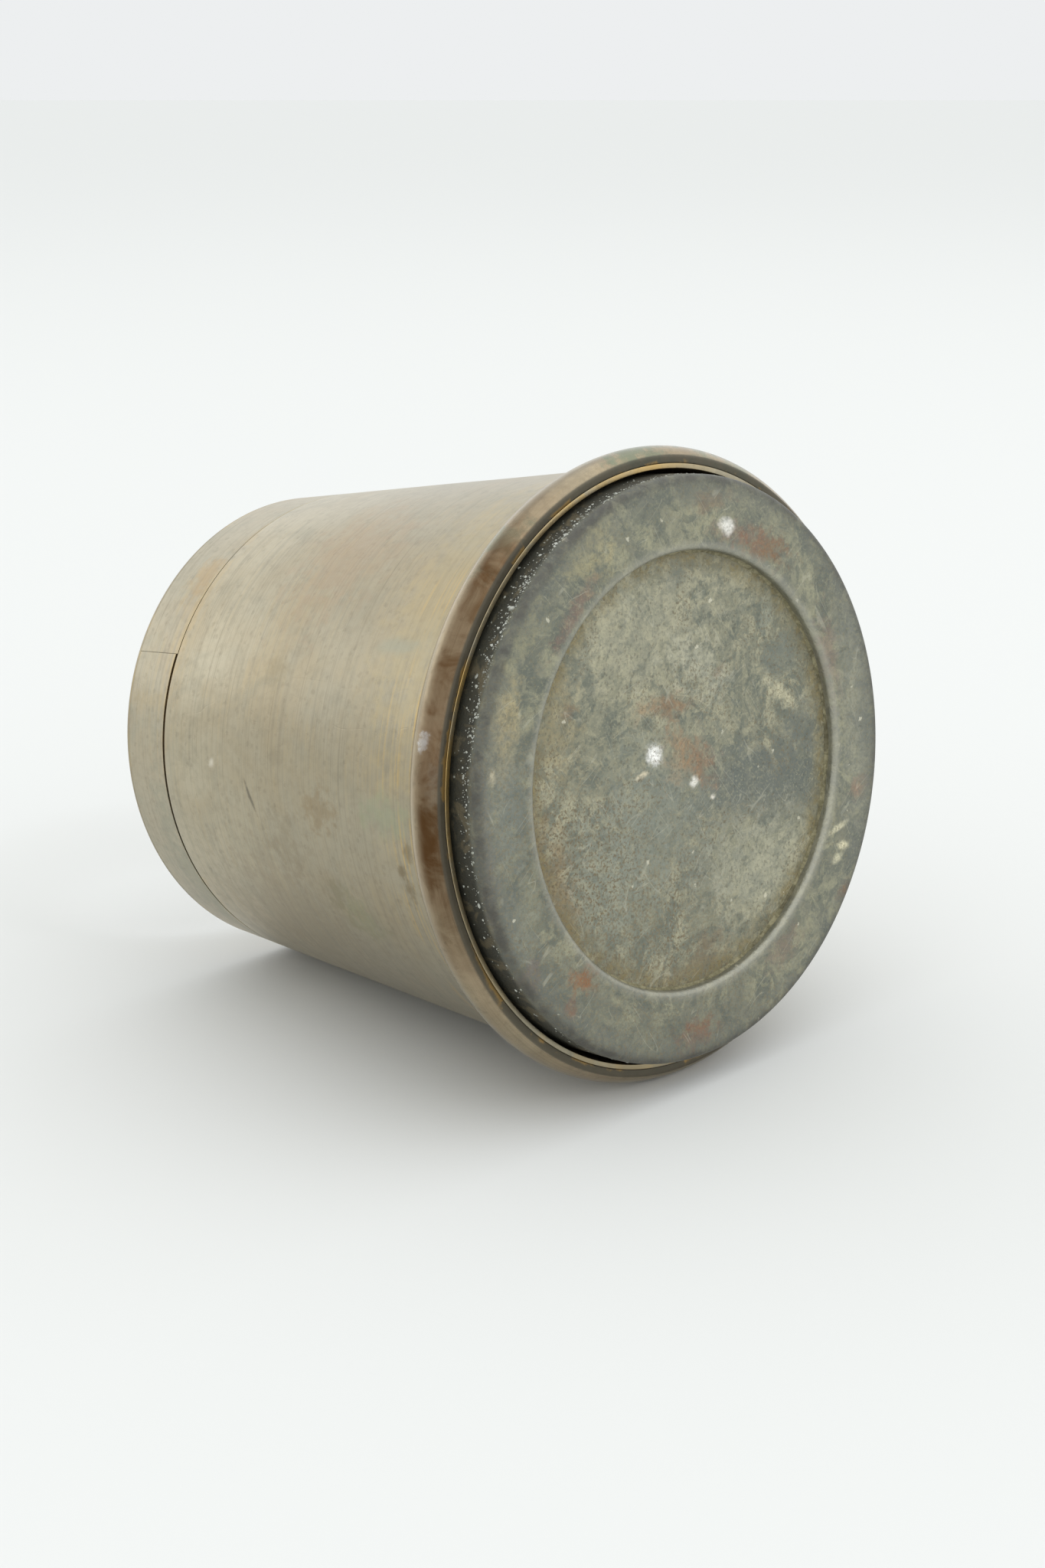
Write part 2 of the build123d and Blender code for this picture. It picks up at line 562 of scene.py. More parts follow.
def ring_brushing() -> Tree:
    """Fine lines round the axis: noise drawn out along X and Y and packed tight across the lines.

    The streaks are the same noise, twice as long and three times as wide as the fine lines.

    Returns:
        The node group.
    """
    inputs = {"Where": (0.0, 0.0, 0.0), "Across": 0.0, "Pitch": 0.12, "Run": 14.0}
    wires, given, sink = new_effect("ring_brushing", inputs, ("Height", "Streaks"))
    flat = wires.flattened(given["Where"])
    for label, run, pitch, detail in (("Height", 1.0, 1.0, 2.0), ("Streaks", 2.0, 3.0, 4.0)):
        long = wires.times(given["Run"], run)
        drawn = wires.vector("DIVIDE", flat, wires.xyz(long, long, 1.0))
        tight = wires.math("DIVIDE", given["Across"], wires.times(given["Pitch"], pitch))
        where = wires.vector("ADD", drawn, wires.xyz(z=tight))
        wires.feed(sink.inputs[label], wires.noise(where, detail=detail, roughness=0.6))
    return wires.tree


def pitting() -> Tree:
    """Scattered spots: one cell in a few holds a soft-edged spot, its size drawn from the cell.

    Returns:
        The node group.
    """
    inputs = {"Where": (0.0, 0.0, 0.0), "Size": 0.6, "Share": 0.3, "Soft": 0.25}
    wires, given, sink = new_effect("pitting", inputs, ("Mask",))
    where = wires.in_units(given["Where"], given["Size"])
    shake = wires.add("TexNoise", Vector=where, Scale=2.1, Detail=2.0).outputs["Color"]
    cells = wires.add("TexVoronoi", Vector=wires.vector("ADD", where, shake), Scale=1.0)
    lot = wires.add("SeparateColor", Color=cells.outputs["Color"])
    chosen = wires.math("LESS_THAN", lot.outputs[0], given["Share"])
    least, spread = 0.12, 0.3
    radius = wires.math("MULTIPLY_ADD", lot.outputs[1], spread, least)
    spot = wires.step(cells.outputs["Distance"], radius, wires.math("ADD", radius, given["Soft"]), 1.0, 0.0)
    wires.feed(sink.inputs["Mask"], wires.times(chosen, spot))
    return wires.tree


def stain_patch() -> Tree:
    """One oval stain: the distance from its centre in half-lengths, shaken by a grain, cut to a mask.

    Returns:
        The node group.
    """
    inputs = {
        "Where": (0.0, 0.0, 0.0), "Centre": (0.0, 0.0, 0.0), "Half Sizes": (1.0, 1.0, 1.0),
        "Turn": 0.0, "Grain": 0.5, "Ragged": 0.8, "Soft": 0.75,
    }
    wires, given, sink = new_effect("stain_patch", inputs, ("Mask",))
    from_centre = wires.vector("SUBTRACT", given["Where"], given["Centre"])
    turned = wires.turned(from_centre, given["Turn"])
    distance = wires.vector("LENGTH", wires.vector("DIVIDE", turned, given["Half Sizes"]))
    furthest = 4.0
    shake = wires.times(wires.math("SUBTRACT", given["Grain"], 0.5), given["Ragged"])
    shaken = wires.math("MULTIPLY_ADD", shake, furthest, distance)
    low = wires.math("SUBTRACT", 1.0, given["Soft"])
    high = wires.math("ADD", 1.0, given["Soft"])
    wires.feed(sink.inputs["Mask"], wires.step(shaken, low, high, 1.0, 0.0))
    return wires.tree


def worn_edge() -> Tree:
    """Rubbing on outward corners: the corner's sharpness plus noise, cut to a mask.

    Returns:
        The node group.
    """
    inputs = {"Where": (0.0, 0.0, 0.0), "Arris": 0.0, "Level": 0.45, "Soft": 0.15, "Size": 1.6, "Broken": 0.9}
    wires, given, sink = new_effect("worn_edge", inputs, ("Mask",))
    grain = wires.noise(wires.in_units(given["Where"], given["Size"]), detail=5.0, roughness=0.6)
    shake = wires.times(wires.math("SUBTRACT", grain, 0.5), given["Broken"])
    rubbed = wires.math("ADD", given["Arris"], shake)
    low = wires.math("SUBTRACT", given["Level"], given["Soft"])
    high = wires.math("ADD", given["Level"], given["Soft"])
    wires.feed(sink.inputs["Mask"], wires.step(rubbed, low, high))
    return wires.tree


def fine_scratches() -> Tree:
    """Hairline scratches: noise drawn out one way, kept only in a thin band round its middle level.

    Returns:
        The node group.
    """
    inputs = {"Where": (0.0, 0.0, 0.0), "Turn": 0.0, "Spacing": 3.0, "Length": 14.0, "Thin": 0.012}
    wires, given, sink = new_effect("fine_scratches", inputs, ("Mask",))
    turned = wires.turned(given["Where"], given["Turn"])
    drawn = wires.vector("DIVIDE", turned, wires.xyz(given["Length"], given["Spacing"], given["Length"]))
    level = wires.math("ABSOLUTE", wires.math("SUBTRACT", wires.noise(drawn, detail=1.0), 0.5))
    line = wires.step(level, 0.0, given["Thin"], 1.0, 0.0)
    gaps = wires.step(wires.noise(wires.vector("SCALE", turned, scale=0.23), detail=1.0), 0.52, 0.6)
    wires.feed(sink.inputs["Mask"], wires.times(line, gaps))
    return wires.tree


def round_the_case() -> Tree:
    """Place on a round wall: length of arc from the -X side, distance from the axis, and height.

    Returns:
        The node group.
    """
    wires, given, sink = new_effect("round_the_case", {"Where": (0.0, 0.0, 0.0)}, ("Around", "Out", "Up"))
    axes = wires.add("SeparateXYZ", Vector=given["Where"])
    x, y = wires.times(axes.outputs[0], -1.0), wires.times(axes.outputs[1], -1.0)
    wires.feed(sink.inputs["Around"], wires.times(wires.math("ARCTAN2", y, x), Stain.WALL_RADIUS))
    wires.feed(sink.inputs["Out"], wires.vector("LENGTH", wires.flattened(given["Where"])))
    wires.feed(sink.inputs["Up"], axes.outputs[2])
    return wires.tree


# ---------------------------------------------------------------- finishes


@dataclass(frozen=True)
class Stain:
    """One mark that wear, damp or dirt has left; a few on the foot's face also paint shade.

    Attributes:
        first: On a wall, the direction in degrees; on a face, X in millimetres.
        second: On a wall, the height; on a face, Y, in millimetres.
        long: Half-length in millimetres, before it is turned.
        wide: Half-width in millimetres.
        colour: Display colour.
        turn: Turn in degrees.
        strength: 0 to 1.
        ragged: How far its outline wanders.
    """

    first: float
    second: float
    long: float
    wide: float
    colour: str
    turn: float = 0.0
    strength: float = 0.5
    ragged: float = 1.2

    # The radius at which directions on a wall are turned into lengths, in millimetres.
    WALL_RADIUS = 35.0
    # Half-depth of a stain, which goes right through the piece.
    THROUGH = 1000.0

    def centre(self, lay: Lay) -> Triple:
        """Its centre in the coordinates that the stain effect works in."""
        first = radians(self.first - 180) * self.WALL_RADIUS if lay is Lay.WALL else self.first
        return (first, self.second, 0.0)


@dataclass
class Coat:
    """The running state of a material while its layers are put on.

    Attributes:
        wires: The material's wiring.
        effects: The shared effects.
        where: Object coordinates in millimetres.
        flat: The coordinates that stains are placed in.
        around: Length of arc round the axis.
        out: Distance from the axis.
        up: Height.
        colour: Base colour so far.
        metal: Metallic so far.
        rough: Roughness so far.
        height: Bump height so far, in millimetres.
    """

    wires: Wiring
    effects: Effects
    where: Socket
    flat: Socket
    around: Socket
    out: Socket
    up: Socket
    colour: object
    metal: object
    rough: object
    height: object = 0.0

    def lay(
        self,
        mask: object,
        colour: str,
        strength: float,
        metal: float | None = None,
        rough: float | None = None,
    ) -> None:
        """Lays one colour over the coat so far.

        Args:
            mask: Where it lies, 0 to 1.
            colour: Display colour.
            strength: How much of it shows.
            metal: Metallic of the layer, if it changes.
            rough: Roughness of the layer, if it changes.
        """
        shown = self.wires.times(mask, strength)
        self.colour = self.wires.blend(shown, self.colour, tint(colour))
        if metal is not None:
            self.metal = self.wires.level(shown, self.metal, metal)
        if rough is not None:
            self.rough = self.wires.level(shown, self.rough, rough)

    def lift(self, mask: object, height: float) -> None:
        """Adds a mask times a height in millimetres to the bump."""
        self.height = self.wires.math("MULTIPLY_ADD", mask, height, self.height)

    def clouds(self, size: float, low: float, high: float, ragged: float = 0.6) -> Socket:
        """Cloudy patches of a size in millimetres."""
        inputs = {"Where": self.where, "Size": size, "Ragged": ragged, "From": low, "To": high}
        return self.wires.effect(self.effects.clouds, **inputs)[0]

    def spots(self, size: float, share: float, soft: float = 0.25) -> Socket:
        """Scattered small spots."""
        return self.wires.effect(self.effects.pits, Where=self.where, Size=size, Share=share, Soft=soft)[0]

    def worn(self, layer: str, level: float, size: float, broken: float, soft: float) -> Socket:
        """A mask along one kind of corner that the mesh carries, broken up by a grain."""
        inputs = {"Where": self.where, "Level": level, "Size": size, "Broken": broken, "Soft": soft}
        return self.wires.effect(self.effects.edge, Arris=self.wires.layer(layer), **inputs)[0]

    def edge(self, level: float, size: float = 1.6, broken: float = 0.9, soft: float = 0.15) -> Socket:
        """Rubbed outward corners."""
        return self.worn("arris", level, size, broken, soft)

    def corner(self, level: float, size: float = 1.2, broken: float = 0.8, soft: float = 0.2) -> Socket:
        """Dirt held in inward corners."""
        return self.worn("crevice", level, size, broken, soft)

    def scratches(self, turn: float, spacing: float, length: float = 14.0, thin: float = 0.012) -> Socket:
        """Hairline scratches at a turn in degrees."""
        inputs = {"Turn": radians(turn), "Spacing": spacing, "Length": length, "Thin": thin}
        return self.wires.effect(self.effects.scratches, Where=self.where, **inputs)[0]

    def stains(self, marks: tuple[Stain, ...], lay: Lay, metal: float, rough: float) -> None:
        """Lays every listed stain.

        Args:
            marks: The stains.
            lay: Which way the surface lies.
            metal: Metallic of a full-strength stain.
            rough: Its roughness.
        """
        fine = self.wires.vector("SCALE", self.where, scale=0.55)
        grain = self.wires.noise(fine, detail=6.0, roughness=0.68)
        for mark in marks:
            inputs = {
                "Where": self.flat, "Centre": mark.centre(lay),
                "Half_Sizes": (mark.long, mark.wide, mark.THROUGH),
                "Turn": radians(-mark.turn), "Grain": grain, "Ragged": mark.ragged,
            }
            mask = self.wires.effect(self.effects.patch, **inputs)[0]
            self.lay(mask, mark.colour, mark.strength, metal, rough)

    def finish(self, material: Material, **constants: float) -> Material:
        """Puts the coat on a Principled shader.

        Args:
            material: The material that the coat belongs to.
            constants: Plain values for other inputs; an underscore stands for a space.

        Returns:
            The material.
        """
        relief = self.wires.add("Bump", Height=self.height, Distance=MM, Strength=1.0).outputs[0]
        coat = {"Base_Color": self.colour, "Metallic": self.metal, "Roughness": self.rough, "Normal": relief}
        shader = self.wires.add("BsdfPrincipled", **coat)
        for key, value in constants.items():
            shader.inputs[key.replace("_", " ")].default_value = value
        sink = self.wires.tree.nodes.new("ShaderNodeOutputMaterial")
        self.wires.feed(sink.inputs["Surface"], shader.outputs[0])
        return material


def new_coat(
    name: str, effects: Effects, lay: Lay, colour: str, metal: float, rough: float
) -> tuple[Material, Coat]:
    """Starts a material with one plain coat.

    Args:
        name: The material's name.
        effects: The shared effects.
        lay: Which way its surface lies.
        colour: Display colour of the ground.
        metal: Metallic of the ground.
        rough: Roughness of the ground.

    Returns:
        The material and its coat.
    """
    material = bpy.data.materials.new(name)
    material.use_nodes = True
    material.node_tree.nodes.clear()
    wires = Wiring(material.node_tree)
    where = wires.vector("SCALE", wires.add("TexCoord").outputs["Object"], scale=1 / MM)
    around, out, up = wires.effect(effects.round, Where=where)
    flat = wires.xyz(around, up) if lay is Lay.WALL else wires.flattened(where)
    return material, Coat(wires, effects, where, flat, around, out, up, tint(colour), metal, rough)


@dataclass(frozen=True)
class BrushedBrass:
    """Thin brown tarnish on brass brushed round and round.

    Attributes:
        name: The material's name.
        ground: Colour of the even tarnish.
        warm: Colour of its pinkish clouds.
        cool: Colour of its greyer clouds.
        bare: Colour of metal rubbed clean.
        grain: Colour of the dark lines and grain of the brushing.
        gold: How strongly rubbed streaks show.
        gold_from: Height where the rubbed streaks are strongest, in millimetres.
        gold_to: Height where they have died out.
        wear: Sharpness at which a corner is rubbed bare; a higher level wears less.
        wear_size: Grain of that rubbing in millimetres.
        wear_broken: How patchy that rubbing is.
        wear_strength: How bright the rubbed corners are.
        rough: Roughness of the tarnish.
        stains: Marks given one by one.
        lay: Which way the surface lies.
        pale: Colour that the metal grows towards near the lid.
        pale_from: Height where it starts to.
        dirt: Colour of dirt in inward corners.
    """

    name: str
    ground: str
    warm: str
    cool: str
    bare: str
    grain: str = "726A58"
    gold: float = 0.5
    gold_from: float = 9.0
    gold_to: float = 24.0
    wear: float = 0.5
    wear_size: float = 1.6
    wear_broken: float = 0.9
    wear_strength: float = 0.15
    rough: float = 0.42
    stains: tuple[Stain, ...] = ()
    lay: Lay = Lay.WALL
    pale: str = "C6BDA4"
    pale_from: float = 100.0
    dirt: str = "4A4434"

    def material(self, effects: Effects) -> Material:
        """Wires the finish.

        Args:
            effects: The shared effects.

        Returns:
            The material.
        """
        material, coat = new_coat(self.name, effects, self.lay, self.ground, 1.0, self.rough)
        wires = coat.wires
        coat.lay(wires.step(coat.up, self.pale_from, self.pale_from + 28.0), self.pale, 0.5)
        coat.lay(coat.clouds(16.0, 0.4, 0.7, 0.4), self.warm, 0.6)
        coat.lay(coat.clouds(7.0, 0.46, 0.72, 0.8), self.cool, 0.4, metal=0.95, rough=self.rough + 0.05)
        coat.lay(coat.clouds(1.3, 0.42, 0.68, 0.3), self.grain, 0.16)
        across = coat.up if self.lay is Lay.WALL else coat.out
        lines = wires.effect(effects.brushing, Where=coat.where, Across=across, Pitch=0.16, Run=16.0)
        fade = wires.step(coat.up, self.gold_from, self.gold_to, 1.0, 0.12)
        rubbed = wires.times(wires.step(lines["Streaks"], 0.46, 0.64), fade, coat.clouds(11.0, 0.38, 0.56))
        coat.lay(rubbed, self.bare, self.gold, metal=1.0, rough=self.rough - 0.08)
        coat.lay(wires.step(lines["Streaks"], 0.5, 0.3), self.grain, 0.22)
        coat.lay(wires.step(lines["Height"], 0.55, 0.75), self.grain, 0.3)
        coat.lay(coat.spots(0.6, 0.08, 0.5), self.grain, 0.2, metal=0.9)
        coat.stains(self.stains, self.lay, metal=0.85, rough=self.rough + 0.05)
        self.own_layers(coat)
        coat.lay(coat.corner(0.6), self.dirt, 0.8, metal=0.2, rough=0.75)
        edge = coat.edge(self.wear, self.wear_size, self.wear_broken)
        worn = wires.times(edge, coat.clouds(8.0, 0.51, 0.57, 0.3))
        coat.lay(worn, self.bare, self.wear_strength, metal=1.0, rough=self.rough - 0.1)
        coat.lift(lines["Height"], 0.006)
        coat.lift(coat.spots(0.7, 0.14, 0.4), -0.008)
        coat.lift(coat.scratches(20.0, 2.6), -0.006)
        return coat.finish(material)

    def own_layers(self, coat: Coat) -> None:
        """Layers that only one piece has: none on plain sheet."""


@dataclass(frozen=True)
class BeadBrass(BrushedBrass):
    """Brushed brass of the bead, with a brown band on its lower half and a flat end darkened by dirt and
    painted shade.

    Attributes:
        band: Colour of the brown band.
        band_top: Height where the band has died out, in millimetres.
        band_deep: Height where it is full.
        band_middle: Length of arc from the -X side where it is fullest.
        flat_end: Height of the bead's flat lower end.
        end_dirt_and_shade: Colour on that end: dirt, and painted shade of the crevice over the foot.
    """

    band: str = "4A2E10"
    band_top: float = 7.6
    band_deep: float = 5.2
    band_middle: float = 12.0
    flat_end: float = 3.7
    end_dirt_and_shade: str = "3A382C"

    def own_layers(self, coat: Coat) -> None:
        """The brown band, thinning out one way, and the dark on the flat end, dirt and painted shade.

        Args:
            coat: The coat so far.
        """
        wires = coat.wires
        low = wires.step(coat.up, self.band_deep, self.band_top, 1.0, 0.0)
        far = wires.math("ABSOLUTE", wires.math("SUBTRACT", coat.around, self.band_middle))
        near = wires.step(far, 15.0, 32.0, 1.0, 0.4)
        cloud = wires.math("MULTIPLY_ADD", coat.clouds(5.0, 0.38, 0.66), 0.25, 0.75)
        coat.lay(wires.times(low, near, cloud), self.band, 0.95)
        # Painted shade as well as dirt: the flat end faces the narrow crevice over the foot and is laid dark.
        dirt = wires.step(coat.up, self.flat_end + 0.06, self.flat_end + 0.28, 1.0, 0.0)
        coat.lay(dirt, self.end_dirt_and_shade, 0.85, metal=0.3, rough=0.6)


@dataclass(frozen=True)
class FootPatina:
    """Grey-green patina with ochre clouds, rust and dark specks, on the parts under the foot.

    Attributes:
        name: The material's name.
        ground: Colour of the even patina.
        pale: Colour of its lighter, olive clouds.
        dark: Colour of its darker clouds.
        speckle: How strongly the fine dark specks show.
        stains: Marks given one by one.
        grime_and_shade_from: Height on the outer wall where its near-black starts, in millimetres: grime, and
            painted shade of the crevice under the bead.
        wall_radius: Distance from the axis beyond which that grime and painted shade lie.
        edge: Colour of the rubbed outer rounding.
        lip: Colour of the rubbed lip round the panel, lightened as painted highlight.
        corner: Colour of dirt in inward corners.
        dirt_from: Distance from the axis where a ring of dirt starts.
        dirt_to: Distance from the axis where it is full.
        dirt: Colour of that ring.
        stipple: Colour of the densest specks.
        brown: Colour of the specks that lie towards one side.
        pit: Colour in the pits.
        crumb: Colour of the few pale specks.
        grime_and_shade: Colour of the black grime, which also paints the shade in the crevice under the bead.
        grime_and_shade_pale: Colour of the paler patches in it.
        hairline: Colour of the hairline scratches.
    """

    name: str
    ground: str
    pale: str
    dark: str
    speckle: float
    stains: tuple[Stain, ...]
    grime_and_shade_from: float
    wall_radius: float
    edge: str
    lip: str
    corner: str
    dirt_from: float
    dirt_to: float
    dirt: str
    stipple: str = "5C5038"
    brown: str = "66563A"
    pit: str = "4E4836"
    crumb: str = "CFCBB6"
    grime_and_shade: str = "26251C"
    grime_and_shade_pale: str = "6A6048"
    hairline: str = "B7B5A3"

    def material(self, effects: Effects) -> Material:
        """Wires the finish.

        Args:
            effects: The shared effects.

        Returns:
            The material.
        """
        material, coat = new_coat(self.name, effects, Lay.FACE, self.ground, 0.5, 0.46)
        wires = coat.wires
        coat.lay(coat.clouds(9.0, 0.42, 0.6, 1.0), self.pale, 0.85, metal=0.35, rough=0.52)
        coat.lay(coat.clouds(6.0, 0.49, 0.62, 1.4), self.dark, 0.85, metal=0.6, rough=0.42)
        coat.lay(coat.clouds(8.0, 0.53, 0.56, 2.2), self.dark, 0.55, metal=0.6, rough=0.4)
        coat.lay(coat.clouds(3.4, 0.55, 0.6, 1.8), self.pale, 0.5)
        coat.stains(self.stains, Lay.FACE, metal=0.25, rough=0.56)
        ring = wires.step(coat.out, self.dirt_from, self.dirt_to)
        cloudy = wires.math("MULTIPLY_ADD", coat.clouds(2.4, 0.4, 0.6, 0.8), 0.7, 0.3)
        coat.lay(wires.times(ring, cloudy), self.dirt, 0.85, metal=0.1, rough=0.66)
        mottle = coat.clouds(1.6, 0.42, 0.66, 0.8)
        coat.lay(mottle, self.dark, 0.3)
        fine = coat.clouds(0.5, 0.47, 0.62, 0.5)
        coat.lay(fine, self.dark, 0.4)
        coat.lay(coat.clouds(0.36, 0.5, 0.66, 0.3), self.pale, 0.4)
        stipple = wires.times(coat.clouds(0.36, 0.54, 0.6, 0.2), coat.clouds(10.0, 0.46, 0.56, 0.8))
        coat.lay(stipple, self.stipple, 0.6 * self.speckle, metal=0.1, rough=0.65)
        lean = wires.step(wires.vector("DOT_PRODUCT", coat.where, (-0.7, 0.7, 0.0)), 2.0, 20.0)
        brown = wires.times(lean, coat.clouds(0.36, 0.5, 0.58, 0.2))
        coat.lay(brown, self.brown, 0.6 * self.speckle, metal=0.1, rough=0.65)
        pits = coat.spots(0.34, 0.16, 0.4)
        coat.lay(pits, self.pit, 0.35 * self.speckle, metal=0.1, rough=0.65)
        coat.lay(coat.spots(0.7, 0.006, 0.2), self.crumb, 0.6, metal=0.1, rough=0.7)
        inner = self.edges(coat)
        hairlines = (coat.scratches(35.0, 2.4, 16.0, 0.01), coat.scratches(-62.0, 3.3, 18.0, 0.008))
        coat.lay(wires.times(wires.math("MAXIMUM", *hairlines), inner), self.hairline, 0.3)
        coat.lift(fine, 0.01)
        coat.lift(pits, -0.02)
        coat.lift(mottle, 0.025)
        return coat.finish(material)

    def edges(self, coat: Coat) -> Socket:
        """Rubbing on the outer rounding, the lip rubbed and lightened as painted highlight, dirt in the
        corners, and black grime with painted shade on the outer wall.

        Args:
            coat: The coat so far.

        Returns:
            A mask of everything inside the outer rounding.
        """
        wires = coat.wires
        outer = wires.step(coat.out, self.wall_radius - 1.8, self.wall_radius - 1.0)
        inner = wires.math("SUBTRACT", 1.0, outer)
        rubbed = coat.edge(0.3, 1.4, 0.5, 0.4)
        patchy = wires.math("MULTIPLY_ADD", coat.clouds(2.6, 0.4, 0.6, 0.8), 0.45, 0.55)
        coat.lay(wires.times(rubbed, outer, patchy), self.edge, 0.9, metal=0.3, rough=0.46)
        # The lip's colour is lightened to paint its highlights, as well as showing rubbed metal.
        coat.lay(wires.times(rubbed, inner), self.lip, 0.5, metal=0.9, rough=0.24)
        coat.lay(coat.corner(0.35, 1.5, 0.8), self.corner, 0.85, metal=0.0, rough=0.8)
        # Painted shade: the outer wall under the bead is laid near black, grime together with the shade of
        # the narrow crevice there.
        wall = wires.step(coat.out, self.wall_radius - 0.25, self.wall_radius)
        grime_and_shade = wires.times(wall, wires.step(coat.up, self.grime_and_shade_from, self.grime_and_shade_from + 0.9))
        coat.lay(grime_and_shade, self.grime_and_shade, 0.9, metal=0.1, rough=0.62)
        coat.lay(wires.times(grime_and_shade, coat.clouds(3.0, 0.5, 0.62, 0.8)), self.grime_and_shade_pale, 0.5)
        return inner


@dataclass(frozen=True)
class DrawnBrass:
    """Brass inside the case: dull yellow, never polished, with dark bloom and drawing lines.

    Attributes:
        name: The material's name.
        ground: Colour of the brass.
        dull: Colour of its darker clouds.
        bloom: Colour of the dark bloom.
        drawn: Colour of the bright drawing lines.
        spot: Colour of the dark spots.
        dirt: Colour of dirt in inward corners.
        bare: Colour of the rubbed edges.
    """

    name: str = "collar_brass"
    ground: str = "B49A62"
    dull: str = "9A7F4E"
    bloom: str = "6B5A3A"
    drawn: str = "CDB57C"
    spot: str = "4E4430"
    dirt: str = "3E3624"
    bare: str = "D8C48E"

    def material(self, effects: Effects) -> Material:
        """Wires the finish.

        Args:
            effects: The shared effects.

        Returns:
            The material.
        """
        material, coat = new_coat(self.name, effects, Lay.WALL, self.ground, 1.0, 0.38)
        coat.lay(coat.clouds(10.0, 0.42, 0.62), self.dull, 0.7, metal=0.9, rough=0.46)
        coat.lay(coat.clouds(3.5, 0.54, 0.66, 1.2), self.bloom, 0.6, metal=0.7, rough=0.55)
        lines = coat.wires.effect(effects.brushing, Where=coat.where, Across=coat.up, Pitch=0.3, Run=30.0)
        coat.lay(coat.wires.step(lines["Streaks"], 0.5, 0.66), self.drawn, 0.5, metal=1.0, rough=0.3)
        coat.lay(coat.spots(1.6, 0.2, 0.4), self.spot, 0.5, metal=0.3, rough=0.65)
        coat.lay(coat.corner(0.4), self.dirt, 0.8, metal=0.1, rough=0.8)
        coat.lay(coat.edge(0.5), self.bare, 0.8, metal=1.0, rough=0.28)
        coat.lift(lines["Height"], 0.01)
        return coat.finish(material)


@dataclass(frozen=True)
class Crust:
    """Dry residue: dust, old polish and flaked deposit.

    Attributes:
        name: The material's name.
        ground: Main colour.
        fleck: Colour of lighter flecks.
        dark: Colour of darker patches.
        metal: Metallic, above 0 for solder.
        rough: Roughness.
    """

    name: str
    ground: str
    fleck: str
    dark: str = "3C3828"
    metal: float = 0.0
    rough: float = 0.85

    def material(self, effects: Effects) -> Material:
        """Wires the finish.

        Args:
            effects: The shared effects.

        Returns:
            The material.
        """
        material, coat = new_coat(self.name, effects, Lay.WALL, self.ground, self.metal, self.rough)
        coat.lay(coat.clouds(0.8, 0.42, 0.6), self.fleck, 0.8)
        coat.lay(coat.clouds(3.0, 0.5, 0.62), self.dark, 0.55, metal=0.0)
        coat.lift(coat.clouds(0.25, 0.3, 0.7), 0.02)
        return coat.finish(material)


@dataclass(frozen=True)
class WoolFelt:
    """Pressed wool: fibres in every direction, pressed pale where needles have stood.

    Attributes:
        name: The material's name.
        ground: Colour of the wool.
        pale: Colour of its lighter fibres.
        dark: Colour between the fibres.
    """

    name: str = "wool"
    ground: str = "7A2B28"
    pale: str = "A85A4E"
    dark: str = "4A1716"

    def material(self, effects: Effects) -> Material:
        """Wires the finish.

        Args:
            effects: The shared effects.

        Returns:
            The material.
        """
        material, coat = new_coat(self.name, effects, Lay.FACE, self.ground, 0.0, 0.95)
        hairs = [coat.scratches(turn, 0.35, 5.0, 0.06) for turn in (10.0, 55.0, 100.0, 150.0)]
        coat.lay(coat.clouds(4.0, 0.4, 0.65), self.dark, 0.4)
        coat.lay(coat.clouds(0.35, 0.45, 0.62), self.dark, 0.6)
        for hair in hairs:
            coat.lay(hair, self.pale, 0.5)
            coat.lift(hair, 0.04)
        coat.lift(coat.clouds(0.35, 0.3, 0.7), 0.08)
        return coat.finish(material, Sheen_Weight=0.6, Sheen_Roughness=0.5)


# ---------------------------------------------------------------- sub-assemblies


def dress(piece: Object, body: Body, slot: str, material: Material, *nodes: str) -> None:
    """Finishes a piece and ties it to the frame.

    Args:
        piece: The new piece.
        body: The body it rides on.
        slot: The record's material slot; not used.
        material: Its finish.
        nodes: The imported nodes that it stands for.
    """
    piece.data.materials.append(material)
    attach(piece, body.value)
    if nodes:
        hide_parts(*nodes)
    faces = len(piece.data.polygons)
    LOG.info("%s: %d faces on %s, for %s", piece.name, faces, body.value, nodes or "detail")


@dataclass(frozen=True)
class Cone:
    """The cone that the body and the lid band share, in millimetres.

    Attributes:
        foot: Height of its lower end.
        foot_outside: Its outer radius there.
        wall: Thickness of the sheet.
        taper: Half angle in degrees.
        joint_rise: How far the hand-cut joint of body and lid rises and falls about its middle.
        joint_side: The direction in which it is highest, in degrees.
    """

    foot: float
    foot_outside: float
    wall: float = 0.6
    taper: float = 4.26
    joint_rise: float = 1.0
    joint_side: float = 150.0

    def inside(self, height: Array | float) -> Array | float:
        """Inner radius at a height."""
        return self.foot_outside - self.wall - tan(radians(self.taper)) * (height - self.foot)

    def outside(self, height: Array | float) -> Array | float:
        """Outer radius at a height."""
        return self.inside(height) + self.wall

    def skew(self, angle: Array | float) -> Array | float:
        """Rise of the hand-cut joint: its greatest rise times the cosine of the angle from that side."""
        return self.joint_rise * np.cos(angle - radians(self.joint_side))


